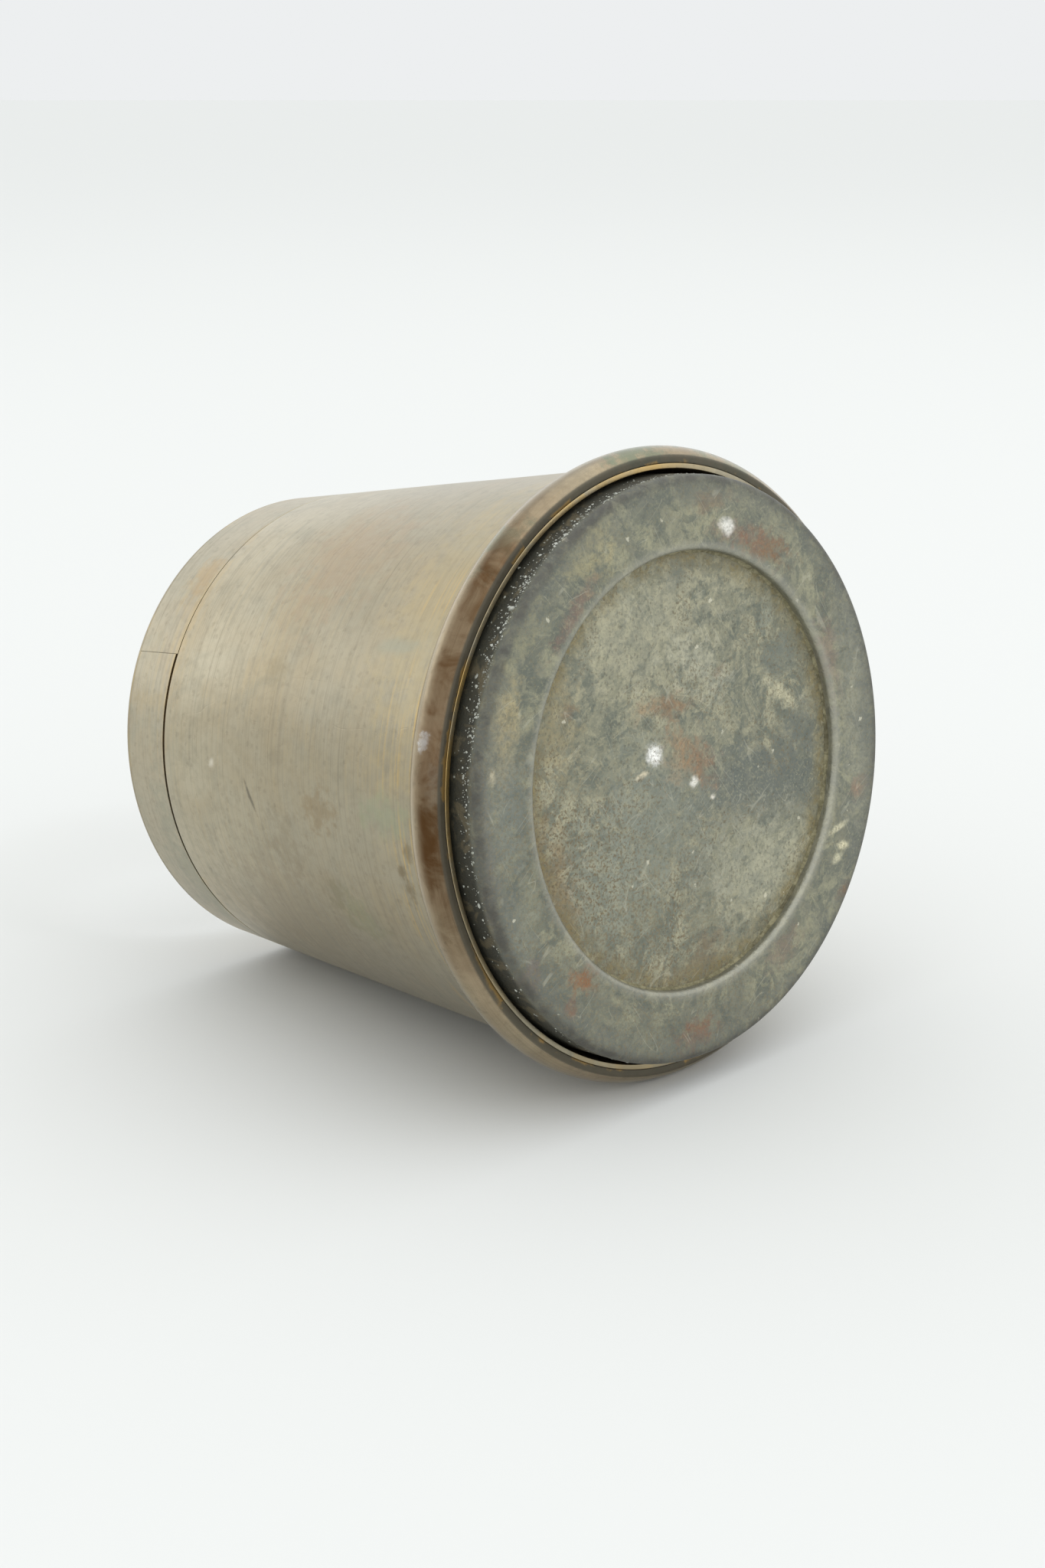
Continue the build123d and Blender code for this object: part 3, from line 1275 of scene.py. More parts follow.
@dataclass(frozen=True)
class CaseBody:
    """The tapered body with its bead, the solder behind the bead, and the collar in its mouth.

    Attributes:
        cone: The cone of its wall, with every length in millimetres.
        wall_waves: Unevenness of the wall.
        bead_waves: Unevenness of the bead's outer side.
        solder_waves: Unevenness of the solder.
        bead_section: Radius of the bead's round section.
        bead_rise: Height of the section's middle above the bead's flat end.
        bead_arris: Softening of the bead's corners.
        solder_leg: Length of the solder's legs.
        solder_sunk: How far the solder goes into the body.
        collar_clearance: Gap between the collar and the lid.
        turns: Steps round the axis.
    """

    cone: Cone
    wall_waves: Waves = Waves(depth=0.05, seed=11)
    bead_waves: Waves = Waves(depth=0.03, seed=23, orders=(3, 14))
    solder_waves: Waves = Waves(depth=0.08, seed=31, orders=(5, 40))
    bead_section: float = 2.95
    bead_rise: float = 2.4
    bead_arris: float = 0.12
    solder_leg: float = 0.45
    solder_sunk: float = 0.05
    collar_clearance: float = 0.06
    turns: int = 720

    def build(self, effects: Effects) -> None:
        """Makes and dresses every piece.

        Args:
            effects: The shared effects.
        """
        self.body_wall(effects)
        self.bead(effects)
        self.solder(effects)
        self.collar(effects)

    def body_wall(self, effects: Effects) -> None:
        """The tapered tube: heights stretch so that its upper end follows the skewed joint.

        Args:
            effects: The shared effects.
        """
        _, foot, highest = reach("body_wall")
        mouth, wall = highest - self.cone.joint_rise, self.cone.wall
        outline = corners((0, foot), (wall, foot), (wall, mouth), (0, mouth))
        section = Section.of([outline], soften=0.05, count=96)
        still_foot, fading = 0.12, 0.2

        def place(offset: Array, height: Array, angle: Array) -> Moved:
            """Offset out from the cone's inside, with slow waves that die out at both ends.

            Args:
                offset: Distances out from the cone's inside.
                height: Heights.
                angle: Directions in radians.

            Returns:
                The moved radius and height.
            """
            moved = height + self.cone.skew(angle) * (height - foot) / (mouth - foot)
            share = np.clip((moved - foot) / (mouth - foot), 0, 1)
            fade = np.clip(np.minimum(share - still_foot, 1 - share) / fading, 0, 1)
            return self.cone.inside(moved) + offset + fade * self.wall_waves.at(angle, moved), moved

        piece = turned_piece("body_shell", section, place, whole_turn(self.turns))
        dress(piece, Body.CASE, "body_brass", BODY_BRASS.material(effects), "body_wall")

    def bead_centre(self) -> tuple[float, float]:
        """Radius and height of the middle of the bead's round section."""
        outer, foot, _ = reach("base_moulding")
        return outer - self.bead_section, foot + self.bead_rise

    def bead(self, effects: Effects) -> None:
        """The bead: a round section cut flat below and cut by the cone behind.

        Args:
            effects: The shared effects.
        """
        centre = self.bead_centre()
        _, foot, top = reach("base_moulding")
        flat_angle = np.degrees(-asin(self.bead_rise / self.bead_section))
        top_angle = np.degrees(asin((top - centre[1]) / self.bead_section))
        back = corners((self.cone.outside(top), top), (self.cone.outside(foot), foot))
        round_side = arc(centre, self.bead_section, flat_angle, top_angle, 90)
        section = Section.of([round_side, back], soften=self.bead_arris, count=120)
        fading = 1.0

        def place(radius: Array, height: Array, angle: Array) -> Moved:
            """Lets the outer side dip in by slow waves, never out."""
            share = np.clip((radius - self.cone.outside(height)) / fading, 0, 1)
            return radius + share * (self.bead_waves.at(angle, height) - self.bead_waves.depth), height

        piece = turned_piece("foot_bead", section, place, whole_turn(self.turns))
        dress(piece, Body.CASE, "moulding_brass", BEAD_BRASS.material(effects), "base_moulding")

    def solder(self, effects: Effects) -> None:
        """A thin hollow fillet of solder in the corner between the bead and the body.

        Args:
            effects: The shared effects.
        """
        _, _, top = reach("base_moulding")
        leg = self.solder_leg
        low, high = top - leg, top + leg
        toe, toe_rise = 0.62 * leg, 0.02
        throat, throat_rise = 0.28 * leg, 0.1 * leg
        fillet = corners(
            (self.cone.outside(low) - self.solder_sunk, low),
            (self.cone.outside(low) + toe, low + toe_rise),
            (self.cone.outside(top) + throat, top + throat_rise),
            (self.cone.outside(high), high),
            (self.cone.outside(high) - self.solder_sunk, high),
        )
        section = Section.of([fillet], soften=0.02, count=24)

        def place(radius: Array, height: Array, angle: Array) -> Moved:
            """Makes the fillet fuller and thinner by small waves."""
            full = 1 + self.solder_waves.at(angle, np.zeros_like(height)) / leg
            return self.cone.outside(height) + (radius - self.cone.outside(height)) * full, height

        piece = turned_piece("bead_solder", section, place, whole_turn(self.turns))
        dress(piece, Body.CASE, "moulding_brass", SOLDER_AND_HIGHLIGHT.material(effects))

    def collar(self, effects: Effects) -> None:
        """The sleeve that the lid slips over: full against the body, a little slimmer above it.

        Args:
            effects: The shared effects.
        """
        _, foot, top = reach("neck_collar")
        seat = reach("body_wall")[2] - 2 * self.cone.joint_rise
        clear_of_axis = 50.0
        thick = self.collar_clearance + self.cone.wall
        outline = corners(
            (-thick, foot), (0, foot), (0, seat), (-self.collar_clearance, seat),
            (-self.collar_clearance, top), (-thick, top),
        )
        section = Section.of([outline + clear_of_axis], soften=0.03, count=110)

        def place(offset: Array, height: Array, angle: Array) -> Moved:
            """Offset in from the cone's inside."""
            return self.cone.inside(height) + offset - clear_of_axis, height

        piece = turned_piece("neck_sleeve", section, place, whole_turn(self.turns))
        dress(piece, Body.CASE, "collar_brass", DrawnBrass().material(effects), "neck_collar")


@dataclass(frozen=True)
class Foot:
    """The stepped foot: spun ring, sunken panel, dirt in its corner and residue on its wall.

    Attributes:
        cone: The cone of the body that it goes into, with every length in millimetres.
        sheet: Thickness of the ring's sheet.
        neck: Height of the slimmer part that goes into the body.
        edge_round: Radius of the rounded outer edge.
        panel_radius: Radius of the sunken panel where it shows.
        lip_round: Radius of the lip's rounding.
        dents: Shallow waves of the resting face.
        panel_waves: Shallow waves of the panel.
        dirt_leg: Length of the legs of the dirt in the corner.
        dirt_sunk: How far the dirt goes into the ring and the panel.
        dirt_waves: How the dirt swells and shrinks round the panel.
        dirt_sizes: The dirt's smallest and largest size, as a share of its legs.
        crumbs: Number of crumbs of residue.
        crumb_side: The direction in which most of them lie, in degrees.
        crumb_spread: How far they spread from it, in degrees.
        turns: Steps round the axis.
        panel_turns: The same for the panel.
    """

    cone: Cone
    sheet: float = 0.9
    neck: float = 1.6
    edge_round: float = 0.9
    panel_radius: float = 26.0
    lip_round: float = 0.7
    dents: Waves = Waves(depth=0.045, seed=41, orders=(2, 12), length=5.0)
    panel_waves: Waves = Waves(depth=0.06, seed=53, orders=(0, 9), length=6.0)
    dirt_leg: float = 0.38
    dirt_sunk: float = 0.04
    dirt_waves: Waves = Waves(depth=0.55, seed=61, orders=(3, 46), length=5.0)
    dirt_sizes: tuple[float, float] = (0.35, 1.7)
    crumbs: int = 900
    crumb_side: float = 222.0
    crumb_spread: float = 34.0
    turns: int = 720
    panel_turns: int = 360

    def build(self, effects: Effects) -> None:
        """Makes and dresses every piece.

        Args:
            effects: The shared effects.
        """
        self.ring(effects)
        self.panel(effects)
        self.corner_dirt(effects)
        self.residue(effects)

    def ring(self, effects: Effects) -> None:
        """The spun ring: wall, rounded edge, resting face with shallow dents, and the lip's edge.

        Args:
            effects: The shared effects.
        """
        radius, _, top = reach("foot_ring")
        panel_height = reach("base_disc")[1]
        seat, seat_outside = top - self.neck, self.cone.inside(top)
        lip = self.panel_radius + self.sheet
        outline = [
            arc((self.panel_radius + self.lip_round, self.lip_round), self.lip_round, 180, 270),
            arc((radius - self.edge_round, self.edge_round), self.edge_round, 270, 360),
            corners((radius, seat), (seat_outside, top), (seat_outside - self.sheet, top)),
            corners((radius - self.sheet, seat), (radius - self.sheet, self.sheet), (lip, self.sheet)),
            corners((lip, panel_height), (self.panel_radius, panel_height)),
        ]
        section = Section.of(outline, soften=0.04, count=138)

        def place(radii: Array, height: Array, angle: Array) -> Moved:
            """Lets the resting face rise by shallow waves, never below the plane it rests on."""
            face = np.clip(1 - height / self.lip_round, 0, 1)
            return radii, height + face * (self.dents.depth + self.dents.at(angle, radii))

        piece = turned_piece("foot_dish", section, place, whole_turn(self.turns))
        dress(piece, Body.CASE, "foot_brass", FOOT_PATINA.material(effects), "foot_ring")

    def panel(self, effects: Effects) -> None:
        """The sunken panel: a disc a little uneven where it shows.

        Args:
            effects: The shared effects.
        """
        radius, low, high = reach("base_disc")
        rim = np.linspace(0, radius, 70)
        outline = [rim + 1j * low, corners((radius, high), (0, high))]
        section = Section.of(outline, soften=0.04, count=150, solid=True)
        still_rim, fading_rim, fading_middle = 0.3, 3.0, 4.0

        def place(radii: Array, height: Array, angle: Array) -> Moved:
            """Moves the lower side by shallow waves that die out before the lip and at the axis.

            Args:
                radii: Distances from the axis.
                height: Heights.
                angle: Directions in radians.

            Returns:
                The moved radius and height.
            """
            under = np.clip((high - height) / (high - low), 0, 1)
            fade = np.clip((self.panel_radius - still_rim - radii) / fading_rim, 0, 1)
            fade *= np.clip(radii / fading_middle, 0, 1)
            return radii, height + under * fade * self.panel_waves.at(angle, radii)

        piece = turned_piece("base_plate", section, place, whole_turn(self.panel_turns))
        dress(piece, Body.CASE, "panel_brass", PANEL_PATINA.material(effects), "base_disc")

    def corner_dirt(self, effects: Effects) -> None:
        """Dirt in the corner round the panel: a hollow fillet whose legs swell and shrink.

        Args:
            effects: The shared effects.
        """
        low, leg = reach("base_disc")[1], self.dirt_leg
        inner, outer, top = self.panel_radius - leg, self.panel_radius + self.dirt_sunk, low + self.dirt_sunk
        hollow = arc((inner, low - leg), leg * 0.93, 90, 0, 12)
        outline = [hollow, corners((outer, low - leg), (outer, top), (inner, top))]
        section = Section.of(outline, soften=0.015, count=26)
        usual, swing, tallest = 0.85, 2.2, 1.6

        def place(radii: Array, height: Array, angle: Array) -> Moved:
            """Scales the section about its own corner.

            Args:
                radii: Distances from the axis.
                height: Heights.
                angle: Directions in radians.

            Returns:
                The moved radius and height.
            """
            scale = usual + self.dirt_waves.at(angle, np.zeros_like(height)) * swing
            scale = np.clip(scale, *self.dirt_sizes)
            moved = low - (low - height) * np.minimum(scale, tallest)
            return self.panel_radius - (self.panel_radius - radii) * scale, moved

        piece = turned_piece("panel_corner_dirt", section, place, whole_turn(self.turns))
        dress(piece, Body.CASE, "panel_brass", CORNER_DIRT.material(effects))

    def residue(self, effects: Effects) -> None:
        """Crumbs of pale residue stuck on the foot's wall, most of them on one side.

        Formula: each crumb is a low dome, a ring grid of (cosine, sine) times a size, stood on the
        wall's surface; sizes, directions and heights are drawn once from a seeded generator.

        Args:
            effects: The shared effects.
        """
        radius = reach("foot_ring")[0]
        draw = np.random.default_rng(71)
        packed = draw.normal(radians(self.crumb_side), radians(self.crumb_spread), self.crumbs * 3 // 4)
        loose = draw.uniform(0, ROUND, self.crumbs - packed.size)
        angle = np.concatenate([packed, loose])
        lowest, least = self.edge_round + 0.15, 0.025
        height = lowest + np.abs(draw.normal(0.3, 1.0, angle.size))
        size = draw.gamma(1.6, 0.045, angle.size) + least
        around = np.linspace(0, ROUND, 7, endpoint=False)
        out = np.array([0.0, 0.45, 0.85])
        rise = np.array([0.34, 0.26, -0.05])
        across = np.concatenate([[0.0], np.outer(out[1:], np.cos(around)).ravel()])
        upward = np.concatenate([[0.0], np.outer(out[1:], np.sin(around)).ravel()])
        dome = np.concatenate([[rise[0]], np.repeat(rise[1:], around.size)])
        shake = 1 + 0.25 * draw.standard_normal((angle.size, across.size))
        turn = angle[:, None] + size[:, None] * across * shake / radius
        stretch = draw.uniform(0.7, 1.6, (angle.size, 1))
        floor = 0.5
        level = np.maximum(height[:, None] + size[:, None] * upward * shake * stretch, floor)
        stand = radius + size[:, None] * dome
        points = np.stack([stand * np.cos(turn), stand * np.sin(turn), level], axis=-1).reshape(-1, 3)
        first = 1 + np.arange(around.size)
        after = np.roll(first, -1)
        cap = np.stack([np.zeros_like(first), first, after], axis=-1)
        side = np.stack([first, first + around.size, after + around.size, after], axis=-1)
        starts = (np.arange(angle.size) * across.size)[:, None, None]
        faces = (cap + starts).reshape(-1, 3).tolist() + (side + starts).reshape(-1, 4).tolist()
        base = np.arange(around.size)[::-1] + 1 + around.size
        faces += (base[None, :] + starts[:, :, 0]).tolist()
        none = np.zeros(points.shape[0])
        piece = mesh_piece("foot_residue", points, faces, {"arris": none, "crevice": none})
        dress(piece, Body.CASE, "foot_brass", RESIDUE.material(effects))


@dataclass(frozen=True)
class Lid:
    """The slip-on lid: a band with a butt seam, and a crowned top.

    Attributes:
        cone: The cone that the band carries on, with every length in millimetres.
        gap: Gap between the body and the lid.
        seam: Direction of the seam, in degrees.
        seam_width: Width of the seam.
        step: How far the band's two ends miss each other.
        end_round: Rounding of the sheet at those ends.
        edge_round: Radius of the top's rounded edge.
        border: Width of the flat border of the top.
        crown: Height of the crown.
        band_waves: Unevenness of the band.
        crown_waves: Unevenness of the crown.
        turns: Steps round the axis.
        top_turns: The same for the top.
    """

    cone: Cone
    gap: float = 0.15
    seam: float = 207.7
    seam_width: float = 0.03
    step: float = 0.35
    end_round: float = 0.05
    edge_round: float = 0.8
    border: float = 2.0
    crown: float = 1.0
    band_waves: Waves = Waves(depth=0.03, seed=83)
    crown_waves: Waves = Waves(depth=0.03, seed=91, orders=(0, 8), length=7.0)
    turns: int = 700
    top_turns: int = 420

    def build(self, effects: Effects) -> None:
        """Makes and dresses every piece."""
        self.band(effects)
        self.top(effects)

    def foot_height(self, angle: Array) -> Array:
        """Height of the band's lower edge: the skewed joint, the gap, and a step beside the seam.

        Args:
            angle: Directions in radians.

        Returns:
            The lower edge's heights.
        """
        joint = reach("body_wall")[2] - self.cone.joint_rise + self.cone.skew(angle) + self.gap
        behind = (radians(self.seam) - angle) % ROUND
        lift = np.where(behind < pi / 2, self.step * np.cos(behind), 0.0)
        return joint + lift

    def band(self, effects: Effects) -> None:
        """The band: an open strip whose lower edge is shaped and whose two ends meet at the seam.

        Args:
            effects: The shared effects.
        """
        top = reach("lid_band")[2]
        foot = reach("body_wall")[2] - self.cone.joint_rise + self.gap
        wall = self.cone.wall
        outline = corners((0, foot), (wall, foot), (wall, top), (0, top))
        section = Section.of([outline], soften=0.045, count=84)
        radius = self.cone.outside(foot)
        half = 0.5 * self.seam_width / radius
        close = self.end_round / radius * np.array([0.0, 0.15, 0.4, 0.7, 1.0])
        start, end = radians(self.seam) + half, radians(self.seam) - half + ROUND
        middle = np.linspace(start + close[-1], end - close[-1], self.turns)[1:-1]
        angles = np.concatenate([start + close, middle, end - close[::-1]])
        fading = 0.3

        def place(offset: Array, height: Array, angle: Array) -> Moved:
            """Stretches heights to the lower edge and rounds the sheet's two ends.

            Args:
                offset: Distances out from the cone's inside.
                height: Heights.
                angle: Directions in radians.

            Returns:
                The moved radius and height.
            """
            share = (top - height) / (top - foot)
            moved = top - share * (top - self.foot_height(angle))
            near = np.minimum(angle - start, end - angle) * radius
            missing = np.clip(self.end_round - near, 0, self.end_round)
            inset = self.end_round - np.sqrt(self.end_round**2 - missing**2)
            thin = (wall / 2 - inset) / (wall / 2)
            fade = np.clip(np.minimum(share, 1 - share) / fading, 0, 1)
            out = wall / 2 + (offset - wall / 2) * thin
            return self.cone.inside(moved) + out + fade * self.band_waves.at(angle, moved), moved

        piece = turned_piece("lid_band_strip", section, place, angles, cut=True)
        dress(piece, Body.LID, "lid_brass", LID_BRASS.material(effects), "lid_band")

    def top(self, effects: Effects) -> None:
        """The top: a flat border with a rounded edge, and inside it a crown that is part of a sphere.

        Args:
            effects: The shared effects.
        """
        low = reach("lid_band")[2]
        rim = reach("lid_top")[2] - self.crown
        edge = self.cone.outside(low)
        crown_edge = edge - self.border
        sphere = (crown_edge**2 + self.crown**2) / (2 * self.crown)
        lean = np.degrees(asin(crown_edge / sphere))
        inner = arc((0, low + self.crown - sphere), sphere, 90, 90 - lean)
        outer = arc((0, rim + self.crown - sphere), sphere, 90 - lean, 90)
        rounding = arc((edge - self.edge_round, rim - self.edge_round), self.edge_round, 0, 90)
        outline = [inner, corners((edge, low)), rounding, outer]
        section = Section.of(outline, soften=0.04, count=150, solid=True)
        fading = 4.0

        def place(radii: Array, height: Array, angle: Array) -> Moved:
            """Lets the crown sink by slow waves, never rise."""
            fade = np.clip(radii / fading, 0, 1) * np.clip((crown_edge - radii) / fading, 0, 1)
            return radii, height - fade * (self.crown_waves.depth - self.crown_waves.at(angle, radii))

        piece = turned_piece("lid_crown", section, place, whole_turn(self.top_turns))
        dress(piece, Body.LID, "lid_brass", LID_TOP_BRASS.material(effects), "lid_top")


@dataclass(frozen=True)
class NeedlePad:
    """The wool pad that the needles stand in, with needle pricks and loose fibres.

    Attributes:
        edge: Radius of its rounded upper edge, in millimetres as every length here.
        waist: How far its sides pull in above and below.
        crown: How far its middle stands above its edge.
        soft: Unevenness of its top.
        pricks: Number of needle pricks.
        prick_depth: Depth of a prick's dimple.
        prick_width: Width of that dimple.
        fibres: Number of loose fibres.
        fibre_thick: Half the thickness of a fibre.
        turns: Steps round the axis.
    """

    edge: float = 1.5
    waist: float = 0.3
    crown: float = 0.5
    soft: Waves = Waves(depth=0.12, seed=101, orders=(0, 14), length=3.0)
    pricks: int = 60
    prick_depth: float = 0.35
    prick_width: float = 0.7
    fibres: int = 420
    fibre_thick: float = 0.025
    turns: int = 480

    def build(self, effects: Effects) -> None:
        """Makes and dresses the pad and its loose fibres.

        Args:
            effects: The shared effects.
        """
        felt = WoolFelt().material(effects)
        radius, low, high = reach("needle_pad")
        self.pad(radius, low, high, felt)
        self.loose_fibres(radius, high, felt)

    def pad(self, radius: float, low: float, high: float, felt: Material) -> None:
        """The pad: a crowned disc whose sides pull in, pricked by small dimples on top.

        Args:
            radius: Its radius.
            low: Height of its foot.
            high: Height of its top.
            felt: Its finish.
        """
        shoulder, drawn_in = high - self.crown, radius - self.waist
        side = np.linspace(low + 0.3, shoulder - self.edge, 12)
        bulge = drawn_in + self.waist * np.sin(pi * (side - low) / (shoulder - low)) + 1j * side
        rim = arc((drawn_in - self.edge, shoulder - self.edge), self.edge, 0, 80, 14)
        inner = np.linspace(drawn_in - self.edge, 0, 60)
        crest = inner + 1j * (shoulder + self.crown * np.cos(0.5 * pi * inner / radius) - self.soft.depth)
        outline = [corners((0, low), (drawn_in, low)), bulge, rim, crest]
        section = Section.of(outline, soften=0.2, count=150, solid=True)
        draw = np.random.default_rng(97)
        out = 0.85 * radius * np.sqrt(draw.uniform(0, 1, self.pricks))
        turn = draw.uniform(0, ROUND, self.pricks)
        still_foot, fading, fading_middle, pricked_from = 2.0, 2.0, 3.0, 3.0

        def place(radii: Array, height: Array, angle: Array) -> Moved:
            """Sinks the top by waves and by one small bell-shaped dimple a prick.

            Args:
                radii: Distances from the axis.
                height: Heights.
                angle: Directions in radians.

            Returns:
                The moved radius and height.
            """
            upper = np.clip((height - low - still_foot) / fading, 0, 1) * np.clip(radii / fading_middle, 0, 1)
            across, upward = radii * np.cos(angle), radii * np.sin(angle)
            dimple = np.zeros_like(radii)
            for x, y in zip(out * np.cos(turn), out * np.sin(turn)):
                apart = (across - x) ** 2 + (upward - y) ** 2
                dimple += self.prick_depth * np.exp(-apart / self.prick_width**2)
            sunk = upper * (self.soft.depth - self.soft.at(angle, radii))
            return radii, height - sunk - dimple * (height > low + pricked_from)

        piece = turned_piece("wool_pad", section, place, whole_turn(self.turns))
        dress(piece, Body.CASE, "wool", felt, "needle_pad")

    def loose_fibres(self, radius: float, high: float, felt: Material) -> None:
        """Loose fibres on the pad: thin three-sided tubes along short arcs.

        Formula: a fibre's middle runs from its root along its heading, bends sideways and rises and
        falls as a sine; its section is three points round that middle.

        Args:
            radius: The pad's radius.
            high: Height of its top.
            felt: Its finish.
        """
        draw = np.random.default_rng(103)
        count, steps = self.fibres, 6
        out = 0.86 * radius * np.sqrt(draw.uniform(0, 1, count))
        turn, heading = draw.uniform(0, ROUND, count), draw.uniform(0, ROUND, count)
        length, sway = draw.uniform(1.0, 3.2, count), draw.uniform(-0.5, 0.5, count)
        lift = draw.uniform(0.05, 0.4, count)
        along = np.linspace(0, 1, steps)
        forward = length[:, None] * along
        sideways = length[:, None] * sway[:, None] * np.sin(pi * along)
        root = out * np.exp(1j * turn)
        line = root[:, None] + (forward + 1j * sideways) * np.exp(1j * heading)[:, None]
        crest = self.crown * (np.cos(0.5 * pi * np.abs(line) / radius) - 1)
        sunk = 0.5
        z = high - sunk + crest + lift[:, None] * np.sin(pi * along)
        ring = np.array([0.0, ROUND / 3, 2 * ROUND / 3])
        side = self.fibre_thick * np.cos(ring)
        points = np.stack([
            line.real[..., None] - side * np.sin(heading)[:, None, None],
            line.imag[..., None] + side * np.cos(heading)[:, None, None],
            z[..., None] + self.fibre_thick * np.sin(ring),
        ], axis=-1).reshape(-1, 3)
        points[:, 2] = np.minimum(points[:, 2], high)
        ids = np.arange(points.shape[0]).reshape(count, steps, 3)
        after = np.roll(ids, -1, axis=2)
        sides = np.stack([ids[:, :-1], after[:, :-1], after[:, 1:], ids[:, 1:]], axis=-1).reshape(-1, 4)
        faces = sides.tolist() + ids[:, 0, ::-1].tolist() + ids[:, -1].tolist()
        none = np.zeros(points.shape[0])
        piece = mesh_piece("wool_fibres", points, faces, {"arris": none, "crevice": none})
        dress(piece, Body.CASE, "wool", felt)


# ---------------------------------------------------------------- values of the finishes

BODY_BRASS = BrushedBrass(
    name="body_brass", ground="A59D88", warm="A4967A", cool="949180", bare="CBA75C", gold=0.65,
    gold_to=19.0, rough=0.34, pale_from=32.0,
    stains=(
        Stain(222, 13, 17.0, 5.5, "B5A47C", strength=0.35),
        Stain(181, 15, 1.6, 3.6, "929A80", strength=0.45, ragged=1.4),
        Stain(212.5, 17, 0.9, 3.2, "97998A", ragged=0.8),
        Stain(157, 26, 2.4, 3.6, "8D9070", turn=-30, strength=0.45, ragged=1.4),
        Stain(179, 28, 2.0, 2.6, "86704C", strength=0.4, ragged=1.6),
        Stain(160, 29, 2.2, 1.8, "7F735C", strength=0.3, ragged=1.4),
        Stain(206, 39, 1.9, 1.8, "8F8264", strength=0.4, ragged=1.0),
        Stain(170, 37, 3.6, 2.2, "80765F", strength=0.3, ragged=1.6),
        Stain(188, 37, 1.1, 1.0, "7A705C", strength=0.25),
        Stain(179, 43, 2.0, 0.22, "5E594C", turn=24, strength=0.7, ragged=0.9),
        Stain(184.5, 51.2, 0.65, 0.45, "D2CBBA", turn=-35, strength=0.75, ragged=0.5),
        Stain(167, 12.6, 1.0, 0.8, "71603E", strength=0.6),
        Stain(171, 13.2, 0.7, 0.7, "71603E", strength=0.6),
        Stain(175, 11.4, 0.8, 0.6, "71603E"),
        Stain(235, 36, 8.0, 7.0, "A88E72", strength=0.3, ragged=1.4),
        Stain(150, 42, 9.0, 12.0, "93866E", strength=0.35, ragged=1.4),
        Stain(20, 30, 10.0, 6.0, "8C7654", strength=0.35, ragged=1.6),
        Stain(70, 48, 5.0, 4.0, "8D9070", strength=0.4, ragged=1.6),
        Stain(330, 22, 6.0, 5.0, "86704C", strength=0.4, ragged=1.6),
    ),
)

BEAD_BRASS = BeadBrass(
    name="moulding_brass", ground="BDB094", warm="B09A80", cool="AFA68E", bare="B8924E", gold=0.1,
    gold_from=3.0, gold_to=7.0, wear=0.8, wear_size=6.0, wear_broken=1.8, wear_strength=0.5, rough=0.24,
    stains=(
        Stain(252, 7.0, 13.0, 3.2, "8C8472", ragged=0.8),
        Stain(233, 5.2, 3.0, 1.4, "8A9680", strength=0.55, ragged=1.6),
        Stain(268, 4.8, 4.0, 2.0, "7A907A", strength=0.65, ragged=1.5),
        Stain(292, 5.4, 5.0, 2.2, "7A907A", ragged=1.6),
        Stain(195.8, 5.4, 0.7, 0.55, "F4F4EF", strength=1.0, ragged=1.4),
        Stain(189, 4.2, 2.2, 0.5, "B9B7A6", ragged=1.8),
        Stain(40, 5.0, 12.0, 2.0, "7A907A", strength=0.4, ragged=1.8),
    ),
)

LID_BRASS = BrushedBrass(
    name="lid_brass", ground="B1A994", warm="AB9C82", cool="A0A090", bare="C4AB74", gold=0.25,
    gold_from=60.0, gold_to=73.0, wear=0.55, rough=0.38,
    stains=(
        Stain(228, 64.5, 3.2, 2.2, "B0905E", strength=0.4),
        Stain(196, 67, 1.2, 4.0, "AE9C78", strength=0.3),
        Stain(150, 64, 12.0, 3.0, "878C7C", strength=0.4, ragged=1.4),
        Stain(60, 66, 6.0, 3.0, "86704C", strength=0.4, ragged=1.6),
        Stain(310, 65, 8.0, 3.0, "8D9070", strength=0.4, ragged=1.6),
    ),
)

LID_TOP_BRASS = BrushedBrass(
    name="lid_top_brass", ground="A39A84", warm="A08E74", cool="939486", bare="C9B27C", gold=0.45,
    gold_from=70.0, gold_to=90.0, wear=0.4, rough=0.38, lay=Lay.FACE,
    stains=(
        Stain(9, -12, 5.0, 3.2, "97794C", strength=0.45, ragged=1.6),
        Stain(-14, 8, 6.0, 4.0, "8FA28C", strength=0.4, ragged=1.7),
        Stain(3, 18, 3.5, 2.0, "8E8168", ragged=1.4),
        Stain(-6, -20, 1.4, 0.9, "5E4A34", strength=0.6, ragged=1.3),
        Stain(18, 10, 2.0, 1.4, "71603E", ragged=1.4),
    ),
)

